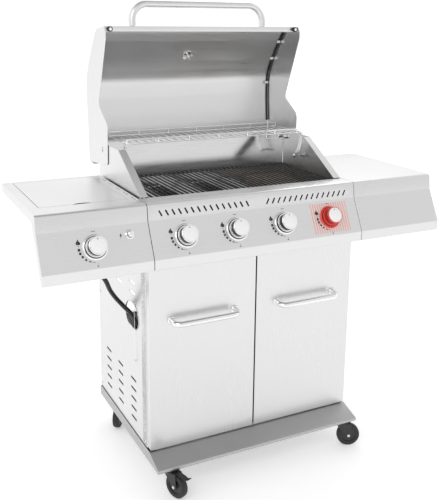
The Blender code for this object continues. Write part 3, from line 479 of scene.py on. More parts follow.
def make_shelf(side_name, side):
    back = rounded([(SHELF_BACK, SHELF_SKIRT), (SHELF_BACK, SHELF_TOP), front_profile()[0]], 0.003, 3)
    outline = [*front_profile(), (-0.04, PANEL_FOOT[1]), (0.05, SHELF_SKIRT), (SHELF_BACK, SHELF_SKIRT),
               *back[1:-1]]
    hollow = [*front_profile(SHEET), (-0.03, PANEL_FOOT[1] + SHEET), (-0.03, 0.7), (0.3, 0.7),
              (SHELF_BACK - SHEET, 0.85), (SHELF_BACK - SHEET, SHELF_TOP - SHEET)]
    ends = mirrored(side, HALF_WIDTH, SHELF_INNER)
    shelf = extruded(outline, "X", *ends)
    cuts = [extruded(hollow, "X", ends[0] + SHEET, ends[1] - SHEET)]
    if side < 0:
        low, high = span("side_burner_lid")
        well = rounded(rectangle(low.x, high.x, low.y, high.y, SHEET), 0.004, 4, True)
        cuts.append(extruded(well, "Z", SHELF_TOP - 0.01, SHELF_TOP + 0.01))
        vents = [slot_outline(-0.388, 0.09 + 0.0715 * i, 0.021, 0.0022, 90) for i in range(5)]
        cuts.append(joined([extruded(vent, "Z", SHELF_TOP - 0.01, SHELF_TOP + 0.01) for vent in vents]))
        stems = ((SIDE_KNOB_X, KNOB_Z), (IGNITER_X, IGNITER_Z))
        cuts.append(joined([face_hole(x, z, STEM_HOLE) for x, z in stems]))
    add(f"shelf_{side_name}_skin", cut(shelf, *cuts), "frame", STEEL_X, [f"shelf_{side_name}"], 0.0008)


def ring_on_face(profile, x, z, sides=48):
    return turned(profile, sides, panel_frame(x, z))


def flame(scale):
    """A simple flame outline, as tall as the scale."""
    points = [(0.0, 0.0), (0.28, 0.06), (0.36, 0.3), (0.24, 0.52), (0.12, 0.62), (0.1, 0.86), (-0.02, 1.0),
              (-0.1, 0.74), (-0.3, 0.5), (-0.36, 0.26), (-0.24, 0.05)]
    return [(u * scale, v * scale) for u, v in points]


def print_shape(x, z, outline, thickness=0.00025):
    """A thin printed mark on the control face, drawn about the point at x and z."""
    return moved(extruded(outline, "Z", 0.00008, thickness), panel_frame(x, z))


# Each dash: its place across and up from the knob's centre, half-width and half-length.
DASHES = ((-0.0488, -0.0023, 0.0036, 0.004), (-0.0468, -0.0131, 0.0033, 0.0037),
          (-0.0411, -0.0234, 0.003, 0.0035), (-0.0327, -0.0329, 0.0024, 0.0032),
          (-0.0225, -0.0389, 0.0016, 0.0028))


def make_dial_print(name, x):
    """A flame, a run of shrinking dashes that ends in a thin tail, and index marks above and below a knob."""
    marks = []
    for u, v, half_width, half_length in DASHES:
        turn = math.atan2(v, u)
        corners = rectangle(-half_width, half_width, -half_length, half_length)
        outline = [(u + a * math.cos(turn) - b * math.sin(turn), v + a * math.sin(turn) + b * math.cos(turn))
                   for a, b in corners]
        marks.append(print_shape(x, KNOB_Z, outline))
    tail = [*arc((0, 0), 0.0448, 244, 262, 5), *arc((0, 0), 0.0438, 262, 244, 5)]
    marks.append(print_shape(x, KNOB_Z, tail))
    drawn = flame(0.017)
    ring = [(u * 1.15 - 0.049, v + 0.012) for u, v in drawn]
    core = [(u * 0.42 - 0.049, v * 0.42 + 0.0138) for u, v in drawn]
    marks.append(cut(print_shape(x, KNOB_Z, ring), print_shape(x, KNOB_Z, core, 0.001)))
    marks.append(print_shape(x, KNOB_Z, ellipse(-0.0492, 0.0082, 0.0013, 0.0013, 12)))
    for shift in (-0.0045, -0.0015, 0.0015, 0.0045):
        marks.append(print_shape(x, KNOB_Z, ellipse(shift, 0.047, 0.0011, 0.0013, 10)))
    marks.append(print_shape(x, KNOB_Z, ellipse(0, -0.0487, 0.0012, 0.0009, 12)))
    marks.append(print_shape(x, KNOB_Z, ellipse(-0.0005, -0.055, 0.0026, 0.0018, 12)))
    add(name, joined(marks), "frame", PRINT)


# Profiles of (radius, height above the face).
BEZEL = ((0.0322, 0.0003), (0.0385, 0.0003), (0.0385, 0.0012), (0.0378, 0.0026), (0.036, 0.004),
         (0.0338, 0.0046), (0.0326, 0.0042), (0.0322, 0.0034))
KNOB_BODY = ((0, 0.0285), (0.0048, 0.0285), (0.0048, 0.0058), (0.03, 0.0055), (0.0312, 0.0062),
             (0.0314, 0.0085), (0.0312, 0.0092), (0.0306, 0.0096), (0.0276, 0.0096), (0.027, 0.0104),
             (0.027, 0.0116), (0.0262, 0.012), (0.0262, 0.029), (0.0275, 0.03), (0.0275, 0.0334),
             (0.0272, 0.0345), (0.0262, 0.035), (0.025, 0.035), (0.0247, 0.0346), (0, 0.0346))
KNOB_FRONT = ((0, 0.0347), (0.0245, 0.0347), (0.0245, 0.0354), (0.0238, 0.0359), (0, 0.036))
# Painted reflection: black rings on the drum and the flange stand in for dark surroundings mirrored in the
# chrome.
KNOB_PAINTED_REFLECTION_BANDS = ((0.0263, 0.0271, 0.0114, 0.029), (0.0313, 0.032, 0.0044, 0.0092))  # two radii, two heights
IGNITER_BEZEL = ((0.0102, 0.0003), (0.015, 0.0003), (0.015, 0.0015), (0.0138, 0.0036), (0.0115, 0.0046),
                 (0.0102, 0.004))
IGNITER_CAP = ((0, -0.02), (0.005, -0.02), (0.005, 0.006), (0.0088, 0.006), (0.0095, 0.0067),
               (0.0095, 0.0138), (0.009, 0.0155), (0.0074, 0.0164), (0.004, 0.0168), (0, 0.0169))


def make_knob(name, body, x, material):
    """A bezel on the face, and on the stem a turned drum with black rings painted on as dark reflections, a
    pale front and an index dot.
    """
    add(f"{name}_bezel", ring_on_face(BEZEL, x, KNOB_Z), "frame", material, crease=50)
    add(f"{name}_turned", ring_on_face(KNOB_BODY, x, KNOB_Z), body, material, [name], crease=50)
    painted_reflection_bands = [ring_on_face(rectangle(*band), x, KNOB_Z) for band in KNOB_PAINTED_REFLECTION_BANDS]
    # Painted reflection: black rings on the chrome knobs and dark red on the red knob, where the turned drum
    # would mirror dark surroundings.
    dark = RED_PAINTED_REFLECTION if material is RED else PRINT
    add(f"{name}_bands", joined(painted_reflection_bands), body, dark, bevel=0.0002, crease=50)
    add(f"{name}_front", ring_on_face(KNOB_FRONT, x, KNOB_Z), body, PORCELAIN, crease=50)
    at = panel_frame(x, KNOB_Z)
    dot = rod(at @ Vector((0, 0.0185, 0.035)), at @ Vector((0, 0.0185, 0.036)), 0.0017, 14)
    add(f"{name}_dot", dot, body, PRINT)


def make_controls():
    for name, x in zip(("left", "middle", "right"), KNOB_X):
        make_knob(f"knob_{name}", f"{name}_knob", x, CHROME)
        make_dial_print(f"dial_print_{name}", x)
    make_knob("knob_sear", "sear_knob", KNOB_X[3], RED)
    make_knob("knob_side", "side_knob", SIDE_KNOB_X, CHROME)
    make_dial_print("dial_print_side", SIDE_KNOB_X)
    plate = rounded(rectangle(-0.0735, 0.073, -0.0525, 0.049), 0.003, 3, True)
    decal = moved(extruded(plate, "Z", 0.00002, 0.00007), panel_frame(KNOB_X[3], KNOB_Z))
    add("sear_plate", decal, "frame", DECAL)
    make_dial_print("dial_print_sear", KNOB_X[3])
    bezel = ring_on_face(IGNITER_BEZEL, IGNITER_X, IGNITER_Z, 32)
    add("igniter_bezel", bezel, "frame", CHROME, crease=50)
    cap = ring_on_face(IGNITER_CAP, IGNITER_X, IGNITER_Z, 32)
    add("igniter_cap", cap, "igniter", SATIN, ["igniter_button"], crease=50)
    spark = [(-0.0262, 0.0085), (-0.0325, -0.001), (-0.0292, -0.001), (-0.0312, -0.009), (-0.0242, 0.0018),
             (-0.028, 0.0018)]
    add("igniter_mark", print_shape(IGNITER_X, IGNITER_Z, spark), "frame", PRINT)


def make_side_burner_lid():
    low, high = span("side_burner_lid")
    outline = rounded(rectangle(low.x, high.x, low.y, high.y), 0.004, 4, True)
    lid = extruded(outline, "Z", low.z, high.z)
    inside = rounded(rectangle(low.x, high.x, low.y, high.y, -SHEET), 0.003, 4, True)
    hollow = extruded(inside, "Z", low.z - 0.01, high.z - SHEET)
    notch = extruded(ellipse(-0.551, low.y, 0.0275, 0.009, 32), "Z", low.z - 0.01, high.z + 0.01)
    add("side_burner_lid_skin", cut(lid, hollow, notch), "side_lid", STEEL_Y, ["side_burner_lid"], 0.0009,
        segments=3)


# Cabinet

CASTER_X, CASTER_Y = (-0.33, 0.33), (-0.051, 0.43)
PLATE_HALF, BOLT_REACH = 0.024, 0.0185
HOSE_HOLE = (0.1505, 0.5335, 0.064, 0.0478)  # centre y, centre z, half-length, half-height
STICK_PEG = (0.12, 0.587)  # y, z
VENT_Y, VENT_ROWS, VENT_PITCH = (0.401, 0.276, 0.1475), (0.1655, 0.613), 0.0353


def make_base():
    low, high = span("base_pan")
    front, lip, top = -0.076, 0.0935, 0.1175
    slope = (top - lip) / -front
    back = 0.506
    floor = low.z + 0.0035 + SHEET
    outer = rounded([(back, 0.082), (back, top), (0, top), (front, lip), (front, 0.082)], 0.0035, 3, True)
    inner = [(back - SHEET, floor), (back - SHEET, top + 0.02), (0.006, top + 0.02), (0.006, top - SHEET),
             (0, top - SHEET), (front + SHEET, lip - SHEET + slope * SHEET), (front + SHEET, floor)]
    pan = extruded(outer, "X", low.x, high.x)
    hollow = extruded(inner, "X", low.x + SHEET, high.x - SHEET)
    add("base_pan_skin", cut(pan, hollow), "frame", GREY, ["base_pan"], 0.0008)
    plates, bolts = [], []
    bolt = ((0, 0.0762), (0.003, 0.0762), (0.0036, 0.077), (0.0036, 0.0786), (0, 0.0786))
    for x in CASTER_X:
        for y in CASTER_Y:
            outline = rounded(rectangle(x, x, y, y, PLATE_HALF), 0.005, 3, True)
            plates.append(extruded(outline, "Z", 0.0785, 0.0835))
            bolts += [turned(bolt, 12, Matrix.Translation((x + a, y + b, 0)))
                      for a in (-BOLT_REACH, BOLT_REACH) for b in (-BOLT_REACH, BOLT_REACH)]
    add("caster_plates", joined(plates), "frame", BLACK, bevel=0.0004)
    add("caster_plate_bolts", joined(bolts), "frame", STEEL_X)


def make_cabinet_side(side_name, side):
    low, high = span(f"cabinet_side_{side_name}")
    half, front, back = 0.377, low.y, high.y
    path = [(half - 0.03, front), (half, front), (half, back), (half - 0.03, back)]
    path = [(side * x, y) for x, y in path]
    panel = sheet(rounded(path, 0.0028, 4), SHEET * side, "Z", low.z, high.z)
    through = mirrored(side, half + 0.01, half - 0.01)
    slots = [extruded(slot_outline(y, first + VENT_PITCH * i, 0.0245, 0.004), "X", *through)
             for y in VENT_Y for first in VENT_ROWS for i in range(5)]
    flange = box(*mirrored(side, half - 0.004, half - 0.035), front - 0.005, front + 0.006, 0.74,
                 high.z + 0.01)
    cuts = [joined(slots), flange]
    if side < 0:
        cuts.append(extruded(ellipse(*HOSE_HOLE, 48), "X", *through))
    add(f"cabinet_side_{side_name}_skin", cut(panel, *cuts), "frame", STEEL_Z, [f"cabinet_side_{side_name}"],
        0.0003)
    if side < 0:
        peg = ((0, -0.001), (0.0018, -0.001), (0.0018, 0.0066), (0.0026, 0.007), (0.0026, 0.0076),
               (0, 0.0078))
        at = placed(-half, *STICK_PEG, -math.pi / 2, "Y")
        add("lighting_stick_peg", turned(peg, 14, at), "frame", STEEL_X)
    screw = ((0, 0.0002), (0.0042, 0.0002), (0.004, 0.0012), (0.0026, 0.0022), (0, 0.0025))
    screws = [turned(screw, 18, placed(side * half, y, z, side * math.pi / 2, "Y"))
              for y in (front + 0.012, back - 0.012) for z in (0.135, 0.5)]
    add(f"cabinet_screws_{side_name}", joined(screws), "frame", STEEL_X, crease=50)


def make_cabinet():
    make_base()
    for side_name, side in SIDES:
        make_cabinet_side(side_name, side)
    low, high = span("cabinet_back")
    path = rounded([(low.z, high.y), (high.z, high.y), (high.z, low.y + 0.001)], 0.002, 3)
    plate = sheet(path, SHEET, "X", low.x, high.x)
    swapped = moved(plate, Matrix(((1, 0, 0, 0), (0, 0, 1, 0), (0, 1, 0, 0), (0, 0, 0, 1))))
    bmesh.ops.recalc_face_normals(swapped, faces=swapped.faces)
    add("cabinet_back_skin", swapped, "frame", STEEL_X, ["cabinet_back"], 0.0003)
    low, high = span("hose_grommet")
    y, z, half_y, half_z = HOSE_HOLE
    rim = extruded(ellipse(y, z, half_y - 0.0006, half_z - 0.0006, 64), "X", low.x + 0.0002, high.x - 0.0002)
    inside = extruded(ellipse(y, z, half_y - 0.0024, half_z - 0.0024, 64), "X", low.x - 0.01, high.x + 0.01)
    add("hose_grommet_ring", cut(rim, inside), "frame", STEEL_Z, ["hose_grommet"], 0.0006, crease=60)


# Firebox

HINGE, HINGE_HOLE = (0.438, 1.036), 0.0056
BOX_HALF, BOX_FRONT, BOX_BACK, BOX_TOP = 0.3715, 0.08, 0.4615, 1.059
SLOPE_TOP_Y, SLOPE_FOOT_Z, FLANGE = 0.276, 0.9435, 0.026


def make_firebox():
    path = rounded([(BOX_FRONT, 0.938), (BOX_FRONT, 0.815), (0.235, 0.792), (0.305, 0.792), (BOX_BACK, 0.815),
                    (BOX_BACK, 1.058), (BOX_BACK + 0.014, 1.058)], 0.004, 4)
    half = BOX_HALF - 0.0025
    tub = sheet(path, SHEET, "X", -half, half)
    ports = [rod((x, 0.07, 0.862), (x, 0.09, 0.862), 0.0115, 24) for x in KNOB_X]
    tub = cut(tub, box(-0.06, 0.06, 0.245, 0.295, 0.78, 0.805), joined(ports))
    ledge_ends = ((BOX_FRONT + 0.0016, BOX_FRONT + 0.012), (BOX_BACK - 0.012, BOX_BACK - 0.0016))
    ledges = [box(-half, half, *ends, z - SHEET, z) for ends in ledge_ends for z in (0.883, 0.9235)]
    rails = [box(*mirrored(side, 0.2015, 0.203), 0.11, 0.45, 0.7575, 0.8065) for side in (-1, 1)]
    lips = [box(*mirrored(side, 0.19, 0.2015), 0.11, 0.45, 0.7575, 0.759) for side in (-1, 1)]
    add("firebox_tub_skin", joined([tub, *ledges, *rails, *lips]), "frame", POLISHED, ["firebox_tub"], 0.0003)
    for side_name, side in SIDES:
        front = BOX_FRONT - 0.0015
        outline = [(front, 0.8), (BOX_BACK + 0.017, 0.8), (BOX_BACK + 0.017, BOX_TOP),
                   (SLOPE_TOP_Y, BOX_TOP), (front, SLOPE_FOOT_Z)]
        wall = extruded(outline, "X", *mirrored(side, BOX_HALF, BOX_HALF - SHEET))
        wall = cut(wall, extruded(ellipse(*HINGE, HINGE_HOLE, HINGE_HOLE, 24), "X", -0.4, 0.4))
        flange = sheet([(SLOPE_TOP_Y, BOX_TOP), (front, SLOPE_FOOT_Z)], SHEET, "X",
                       *mirrored(side, BOX_HALF - SHEET, BOX_HALF - FLANGE))
        add(f"firebox_side_{side_name}_skin", joined([wall, flange]), "frame", STEEL_Z,
            [f"firebox_side_{side_name}"], 0.0005)
    for name in ("left", "middle", "right"):
        dress(f"burner_{name}", STEEL_Y)
        dress(f"heat_plate_{name}", STEEL_Y)
    dress("sear_burner", CERAMIC)
    dress("manifold", BRASS)
    dress("side_burner", IRON)
    dress("side_burner_bowl", POLISHED)


def make_grate(name):
    """Round bars along y, joined by a cross bar at each end."""
    low, high = span(name)
    radius = (high.z - low.z) / 2
    z = (low.z + high.z) / 2
    step = (high.x - low.x - 2 * radius) / 20
    bars = [rod((x, low.y + 0.001, z), (x, high.y - 0.001, z), radius * 0.96, 12, 0.0006)
            for x in [low.x + radius + step * i for i in range(21)]]
    ends = [tube([(low.x + radius, y, z - 0.0002), (high.x - radius, y, z - 0.0002)], radius * 0.9, 10)
            for y in (low.y + radius + 0.001, high.y - radius - 0.001)]
    add(f"{name}_bars", joined([*bars, *ends]), "frame", IRON, [name], crease=50)


def make_side_grate():
    low, high = span("side_burner_grate")
    x, y = (low.x + high.x) / 2, (low.y + high.y) / 2
    half_x, half_y = (high.x - low.x) / 2 - 0.0028, (high.y - low.y) / 2 - 0.0028
    z = high.z - 0.0028
    wire, hub = 0.0026, 0.018
    corners = rectangle(x - half_x, x + half_x, y - half_y, y + half_y)
    bars = [tube(rounded([(*corner, z) for corner in corners], 0.012, 5, True), wire, 10, True)]
    for a, b in ((1, 0), (-1, 0), (0, 1), (0, -1)):
        outer, inner = (x + a * half_x, y + b * half_y, z), (x + a * hub, y + b * hub, z)
        bars.append(rod(outer, inner, wire, 10, 0.0006))
    for a in (-1, 1):
        for b in (-1, 1):
            corner = Vector((x + a * (half_x - 0.004), y + b * (half_y - 0.004), z))
            bars.append(rod(corner, corner - Vector((0, 0, z - low.z)), wire, 10, 0.0006))
    add("side_burner_grate_bars", joined(bars), "frame", IRON, ["side_burner_grate"], crease=50)


# Lid

LID_CURVE = ((0.387, 1.453), (0.465, 1.443), (0.483, 1.433), (0.512, 1.4), (0.537, 1.367),
             (0.5665, 1.326), (0.589, 1.286), (0.6, 1.252), (0.6, 1.19), (0.592, 1.085),
             (0.587, 0.968))
LID_ROUNDING = 0.12


def make_lid():
    curve = rounded(LID_CURVE, LID_ROUNDING, 6)
    lip = rounded([(0.395, 1.4345), (0.387, 1.4345), *curve[:2]], 0.0022, 4)
    foot = rounded([*curve[-2:], (0.54, 0.966)], 0.003, 4)
    path = [*lip[:-1], *curve[1:-1], *foot[1:]]
    half = span("lid_shell")[1].x
    gauge = gauge_frame()
    hole = rod(gauge @ Vector((0, 0, -0.02)), gauge @ Vector((0, 0, 0.02)), 0.007, 24)
    shell = cut(sheet(path, -SHEET, "X", -half, half), hole)
    add("lid_shell_skin", shell, "lid", STEEL_X, ["lid_shell"], 0.0003)
    front = [LID_CURVE[-1], (0.386, 0.99), (0.378, 0.998), (0.373, 1.12), (0.38, 1.135),
             (0.456, 1.183), (0.459, 1.199), (0.372, 1.412), (0.372, 1.4345), (0.387, 1.453)]
    outline = [*curve[:-1], *rounded(front, 0.006, 4)[:-1]]
    for side_name, side in SIDES:
        low, high = span(f"lid_side_{side_name}")
        plate = extruded(outline, "X", low.x, high.x)
        plate = cut(plate, extruded(ellipse(*HINGE, HINGE_HOLE, HINGE_HOLE, 24), "X", -0.4, 0.4))
        add(f"lid_side_{side_name}_skin", plate, "lid", STEEL_Z, [f"lid_side_{side_name}"], 0.0006)
        make_lid_fittings(side_name, side)
    # Painted shade: a black strip along the shell's inside corner at the right side plate stands in for the
    # shadow gap between them.
    strip = [(p.x - 0.0035, p.y - 0.0015) for p in (Vector(q) for q in curve)]
    strip = [p for p in strip if 1.05 < p[1] < 1.432]
    add("lid_corner_painted_shade", sheet(strip, -0.002, "X", 0.3655, 0.3712), "lid", RUBBER, bevel=0.0003)
    clips = []
    for z in (1.395, 1.345, 1.225):
        near = min(strip, key=lambda p: abs(p[1] - z))
        clips.append(box(0.356, 0.3708, near[0] - 0.007, near[0] - 0.0022,
                         near[1] - 0.005, near[1] + 0.005))
    add("lid_corner_clips", joined(clips), "lid", STEEL_Z, bevel=0.0008)
    make_lid_handle()
    make_gauge()


def make_lid_fittings(side_name, side):
    at = placed(side * BOX_HALF, *HINGE, side * math.pi / 2, "Y")
    head = ((0, -0.011), (0.007, -0.011), (0.008, -0.0102), (0.008, -0.003), (0.005, -0.003),
            (0.005, 0.0035), (0.009, 0.0035), (0.009, 0.0043), (0.0082, 0.0058), (0.006, 0.0067), (0, 0.0068))
    pin = turned(head, 32, at)
    slot_cut = moved(box(-0.006, 0.006, -0.0009, 0.0009, 0.0052, 0.009), at @ Matrix.Rotation(0.6, 4, "Z"))
    add(f"hinge_pin_{side_name}_turned", cut(pin, slot_cut), "lid", CHROME, [f"hinge_pin_{side_name}"],
        crease=50)
    low, high = span(f"lid_bumper_{side_name}")
    x, z = (low.x + high.x) / 2, (low.z + high.z) / 2
    stand = placed(x, high.y, z, math.pi / 2, "X")
    ring = ((0, 0), (0.0083, 0), (0.0085, 0.001), (0.0085, 0.0118), (0.0081, 0.0134), (0.0072, 0.0142),
            (0.006, 0.0142), (0.0054, 0.013), (0, 0.0128))
    add(f"lid_bumper_{side_name}_turned", turned(ring, 32, stand), "lid", RUBBER,
        [f"lid_bumper_{side_name}"], crease=50)
    screw = ((0, 0.0129), (0.0053, 0.0129), (0.0051, 0.0136), (0.0034, 0.0141), (0, 0.0142))
    add(f"lid_bumper_screw_{side_name}", turned(screw, 24, stand), "lid", CHROME, crease=50)


def bent_handle(half, rise, bend, steps):
    """A bar's centre line from one foot up, across and down to the other."""
    right = arc((half - bend, rise - bend), bend, 0, 90, steps)
    left = [(-a, b) for a, b in reversed(right)]
    return [(half, 0), *right, *left, (-half, 0)]


def make_lid_handle():
    high = span("lid_handle")[1]
    radius, foot = 0.0125, 1.447
    half = high.x - radius
    line = bent_handle(half, high.z - radius - foot, 0.056, 12)
    points = [(a, 0.445 + 0.1 * b, foot + b) for a, b in line]
    add("lid_handle_tube", tube(points, radius, 24), "lid", STEEL_X, ["lid_handle"], crease=50)
    collar = ((0.0126, 0.0008), (0.0165, 0.0008), (0.0167, 0.0026), (0.0158, 0.0042), (0.014, 0.005),
              (0.0126, 0.0052))
    feet = [turned(collar, 32, placed(side * half, 0.445, foot, -0.17, "X")) for side in (-1, 1)]
    add("lid_handle_collars", joined(feet), "lid", CHROME, crease=50)


def gauge_frame():
    low, high = Vector((0, *LID_CURVE[5])), Vector((0, *LID_CURVE[4]))
    up = (high - low).normalized()
    across = Vector((-1, 0, 0))
    turn = Matrix((across, up, across.cross(up))).transposed().to_4x4()
    return Matrix.Translation((low + high) / 2) @ turn


def make_gauge():
    at = gauge_frame()
    case = ((0, -0.03), (0.0018, -0.03), (0.0025, -0.029), (0.0025, -0.0075), (0.006, -0.007),
            (0.0065, -0.0058), (0.02, -0.0055), (0.02, -0.0025), (0.006, -0.002), (0.006, 0.001),
            (0.0285, 0.0015), (0.03, 0.003), (0.03, 0.012), (0.0292, 0.0132), (0.0278, 0.0134),
            (0.0268, 0.0126), (0.0264, 0.0112), (0, 0.0112))
    add("lid_gauge_case", turned(case, 48, at), "lid", CHROME, ["lid_gauge"], crease=50)
    dial = ((0, 0.01125), (0.0262, 0.01125), (0.0262, 0.0116), (0, 0.0116))
    add("lid_gauge_dial", turned(dial, 48, at), "lid", DIAL)
    ticks = []
    for i in range(25):
        long = i % 4 == 0
        tick = box(-0.00045, 0.00045, 0.0185 if long else 0.0208, 0.024, 0.01165, 0.0119)
        ticks.append(moved(tick, at @ Matrix.Rotation(math.radians(135 - 11.25 * i), 4, "Z")))
    needle = extruded(((-0.0012, -0.005), (0.0012, -0.005), (0.0004, 0.0195), (-0.0004, 0.0195)), "Z",
                      0.012, 0.0124)
    ticks.append(moved(needle, at @ Matrix.Rotation(math.radians(70), 4, "Z")))
    ticks.append(turned(((0, 0.0118), (0.0026, 0.0118), (0.0026, 0.0127), (0, 0.0128)), 20, at))
    add("lid_gauge_marks", joined(ticks), "lid", PRINT)


# Warming rack


def make_rack():
    low, high = span("warming_rack")
    half = high.x
    front, back, level = low.y + 0.002, high.y - 0.002, 1.075
    upper = high.z - 0.0016
    wire = 0.0017
    step = (2 * half - 0.004) / 25
    bars = [rod((x, low.y + 0.0003, level), (x, high.y - 0.0003, level), 0.0018, 10, 0.0004)
            for x in [-half + 0.002 + step * i for i in range(26)]]
    rails = [rod((-half + 0.0004, y, z), (half - 0.0004, y, z), wire, 10, 0.0004)
             for y in (front, back) for z in (level - 0.0002, upper)]
    posts = [rod((x, y, level), (x, y, upper), wire, 10)
             for x in (-0.338, -0.2255, -0.113, 0, 0.113, 0.2255, 0.338) for y in (front, back)]
    wave = [(-half + 0.003 + (2 * half - 0.006) * i / 240, front - 0.0002,
             (level + upper) / 2 + 0.0045 * math.cos(2 * math.pi * 12.5 * i / 240)) for i in range(241)]
    hanger = [(0.19, front, level), (0.19, front, level - 0.012), (0.198, front, level - 0.0148),
              (0.232, front, level - 0.0148), (0.24, front, level - 0.012), (0.24, front, level)]
    shapes = [*bars, *rails, *posts, tube(wave, 0.0011, 8), tube(rounded(hanger, 0.006, 4), 0.0014, 10)]
    for side in (-1, 1):
        ear = [(0.283, 1.0602), (0.297, 1.0602), (0.312, 1.074), (0.312, 1.076), (0.282, 1.076)]
        plate = extruded(rounded(ear, 0.003, 3, True), "X", *mirrored(side, half - 0.002, half - 0.0003))
        shapes.append(cut(plate, extruded(ellipse(0.29, 1.068, 0.0036, 0.0036, 20), "X", -0.4, 0.4)))
    add("warming_rack_wires", joined(shapes), "rack", CHROME, ["warming_rack"], crease=50)
    for side_name, side in SIDES:
        make_rack_leg(side_name, side)


def make_rack_leg(side_name, side):
    foot_y, foot_z = 0.335, 0.98
    head_y, head_z = 0.29, 1.068
    low, high = span(f"rack_leg_{side_name}")
    inner = 0.3425
    outline = ((foot_y + 0.007, foot_z - 0.005), (foot_y + 0.006, foot_z + 0.006), (0.318, 1.008),
               (0.304, 1.04), (head_y + 0.008, head_z + 0.002), (head_y + 0.003, head_z + 0.008),
               (head_y - 0.006, head_z + 0.006), (head_y - 0.009, head_z - 0.004), (0.284, 1.03),
               (0.3, 0.995), (foot_y - 0.008, foot_z - 0.006), (foot_y, foot_z - 0.009))
    strap = extruded(rounded(outline, 0.05, 4, True), "X", *mirrored(side, inner, inner + 0.002))
    outer_end = high.x if side > 0 else -low.x
    bolt = rod((side * inner, foot_y, foot_z), (side * outer_end, foot_y, foot_z), 0.004, 20, 0.0004)
    pin = rod((side * inner, head_y, head_z), (side * (0.3405 - 0.0045), head_y, head_z), 0.003, 20, 0.0004)
    head = turned(((0, 0.0), (0.0062, 0.0), (0.0058, 0.0016), (0.0034, 0.0028), (0, 0.003)), 24,
                  placed(side * inner, foot_y, foot_z, -side * math.pi / 2, "Y"))
    add(f"rack_leg_{side_name}_strap", joined([strap, bolt, pin, head]), "rack_legs", CHROME,
        [f"rack_leg_{side_name}"], 0.0003, crease=45)


# Painted shade in gaps and behind slots, and trim


def make_painted_shade_gaps():
    """Painted shade: thin black sheets behind the slots, and black strips in the gaps beside the control
    panel and under the side lid, where shadow falls.
    """
    # Painted shade: black sheets just inside the lower cabinet side slots and behind the control panel slots
    # stand in for the dark interior.
    shade_sheets = [box(*mirrored(side, 0.3748, 0.3742), 0.11, 0.44, 0.15, 0.325) for side in (-1, 1)]
    add("cabinet_vent_painted_shade", joined(shade_sheets), "frame", PRINT)
    add("panel_vent_painted_shade", box(-0.345, 0.345, 0.0085, 0.0095, 0.895, 0.922), "frame", PRINT)
    # Painted shade: black strips in the seams between the control panel's ends and the shelves stand in for
    # the shadow in those gaps.
    outline = [*front_profile(0.0014), (-0.04, PANEL_FOOT[1] + 0.0014), (0.04, 0.905),
               (0.07, SHELF_TOP - 0.002)]
    seam_shade_strips = [extruded(outline, "X", *mirrored(side, PANEL_HALF + 0.0002, SHELF_INNER - 0.0002))
               for side in (-1, 1)]
    add("panel_seam_painted_shade", joined(seam_shade_strips), "frame", PRINT)
    # Painted shade: a black ring just under the side burner lid's edge stands in for the shadow in the gap
    # around it.
    low, high = span("side_burner_lid")
    rim, inner = (rectangle(low.x, high.x, low.y, high.y, margin) for margin in (SHEET, 0.0002))
    ring = cut(extruded(rim, "Z", SHELF_TOP - 0.006, SHELF_TOP - 0.0016),
               extruded(inner, "Z", SHELF_TOP - 0.02, SHELF_TOP + 0.01))
    add("side_lid_gap_painted_shade", ring, "frame", PRINT)


def make_edge_strip():
    """The strip of speckled trim along the front edge of the left side panel."""
    strip = box(-0.3774, -0.3769, 0.03, 0.064, 0.124, 0.738)
    add("cabinet_edge_strip", strip, "frame", SPECKLE, bevel=0.0002)


# Doors

DOOR_HANDLE_Z, DOOR_HANDLE_HALF, DOOR_TUBE = 0.559, 0.112, 0.0095


def make_door(side_name, side):
    low, high = span(f"door_{side_name}")
    body = f"{side_name}_door"
    outline = rounded(rectangle(low.x, high.x, low.z, high.z), 0.0035, 4, True)
    door = extruded(outline, "Y", low.y, high.y)
    hollow = box(low.x + SHEET, high.x - SHEET, low.y + SHEET, high.y + 0.01, low.z + SHEET, high.z - SHEET)
    add(f"door_{side_name}_skin", cut(door, hollow), body, STEEL_Z, [f"door_{side_name}"], 0.0013, segments=3)
    returns = [box(low.x + SHEET, high.x - SHEET, high.y - 0.0013, high.y - 0.0001, *ends)
               for ends in ((low.z + SHEET, low.z + 0.014), (high.z - 0.014, high.z - SHEET))]
    add(f"door_{side_name}_returns", joined(returns), body, STEEL_Z, bevel=0.0003)
    # Painted shade: a thin black strip on each door's inner edge stands in for the shadow in the gap between
    # the doors.
    edge = high.x if side < 0 else low.x
    gap_shade = box(*sorted((edge, edge - side * 0.0006)), low.y + 0.0022, high.y - 0.001, low.z + 0.004,
               high.z - 0.004)
    add(f"door_{side_name}_edge_painted_shade", gap_shade, body, PRINT)
    centre = side * 0.191
    line = bent_handle(DOOR_HANDLE_HALF, 0.036, 0.024, 10)
    points = [(centre + a, -0.0011 - b, DOOR_HANDLE_Z - 0.1 * b) for a, b in line]
    add(f"door_handle_{side_name}_tube", tube(points, DOOR_TUBE, 28), body, CHROME,
        [f"door_handle_{side_name}"], crease=50)
    collar = ((0.0096, 0.0004), (0.013, 0.0004), (0.0132, 0.0018), (0.0124, 0.0034), (0.0108, 0.0044),
              (0.0096, 0.0045))
    feet = [turned(collar, 32, placed(centre + a, 0, DOOR_HANDLE_Z, math.pi / 2, "X"))
            for a in (-DOOR_HANDLE_HALF, DOOR_HANDLE_HALF)]
    add(f"door_handle_{side_name}_collars", joined(feet), body, CHROME, crease=50)


# Casters

CASTERS = {  # x, y, heading in degrees
    "front_left": (CASTER_X[0], CASTER_Y[0], -68), "front_right": (CASTER_X[1], CASTER_Y[0], -24),
    "back_left": (CASTER_X[0], CASTER_Y[1], -125), "back_right": (CASTER_X[1], CASTER_Y[1], 53),
}
TRAIL, HUB = 0.03, 0.03


def caster_frame(x, y, heading):
    return placed(x, y, 0, math.radians(heading), "Z")


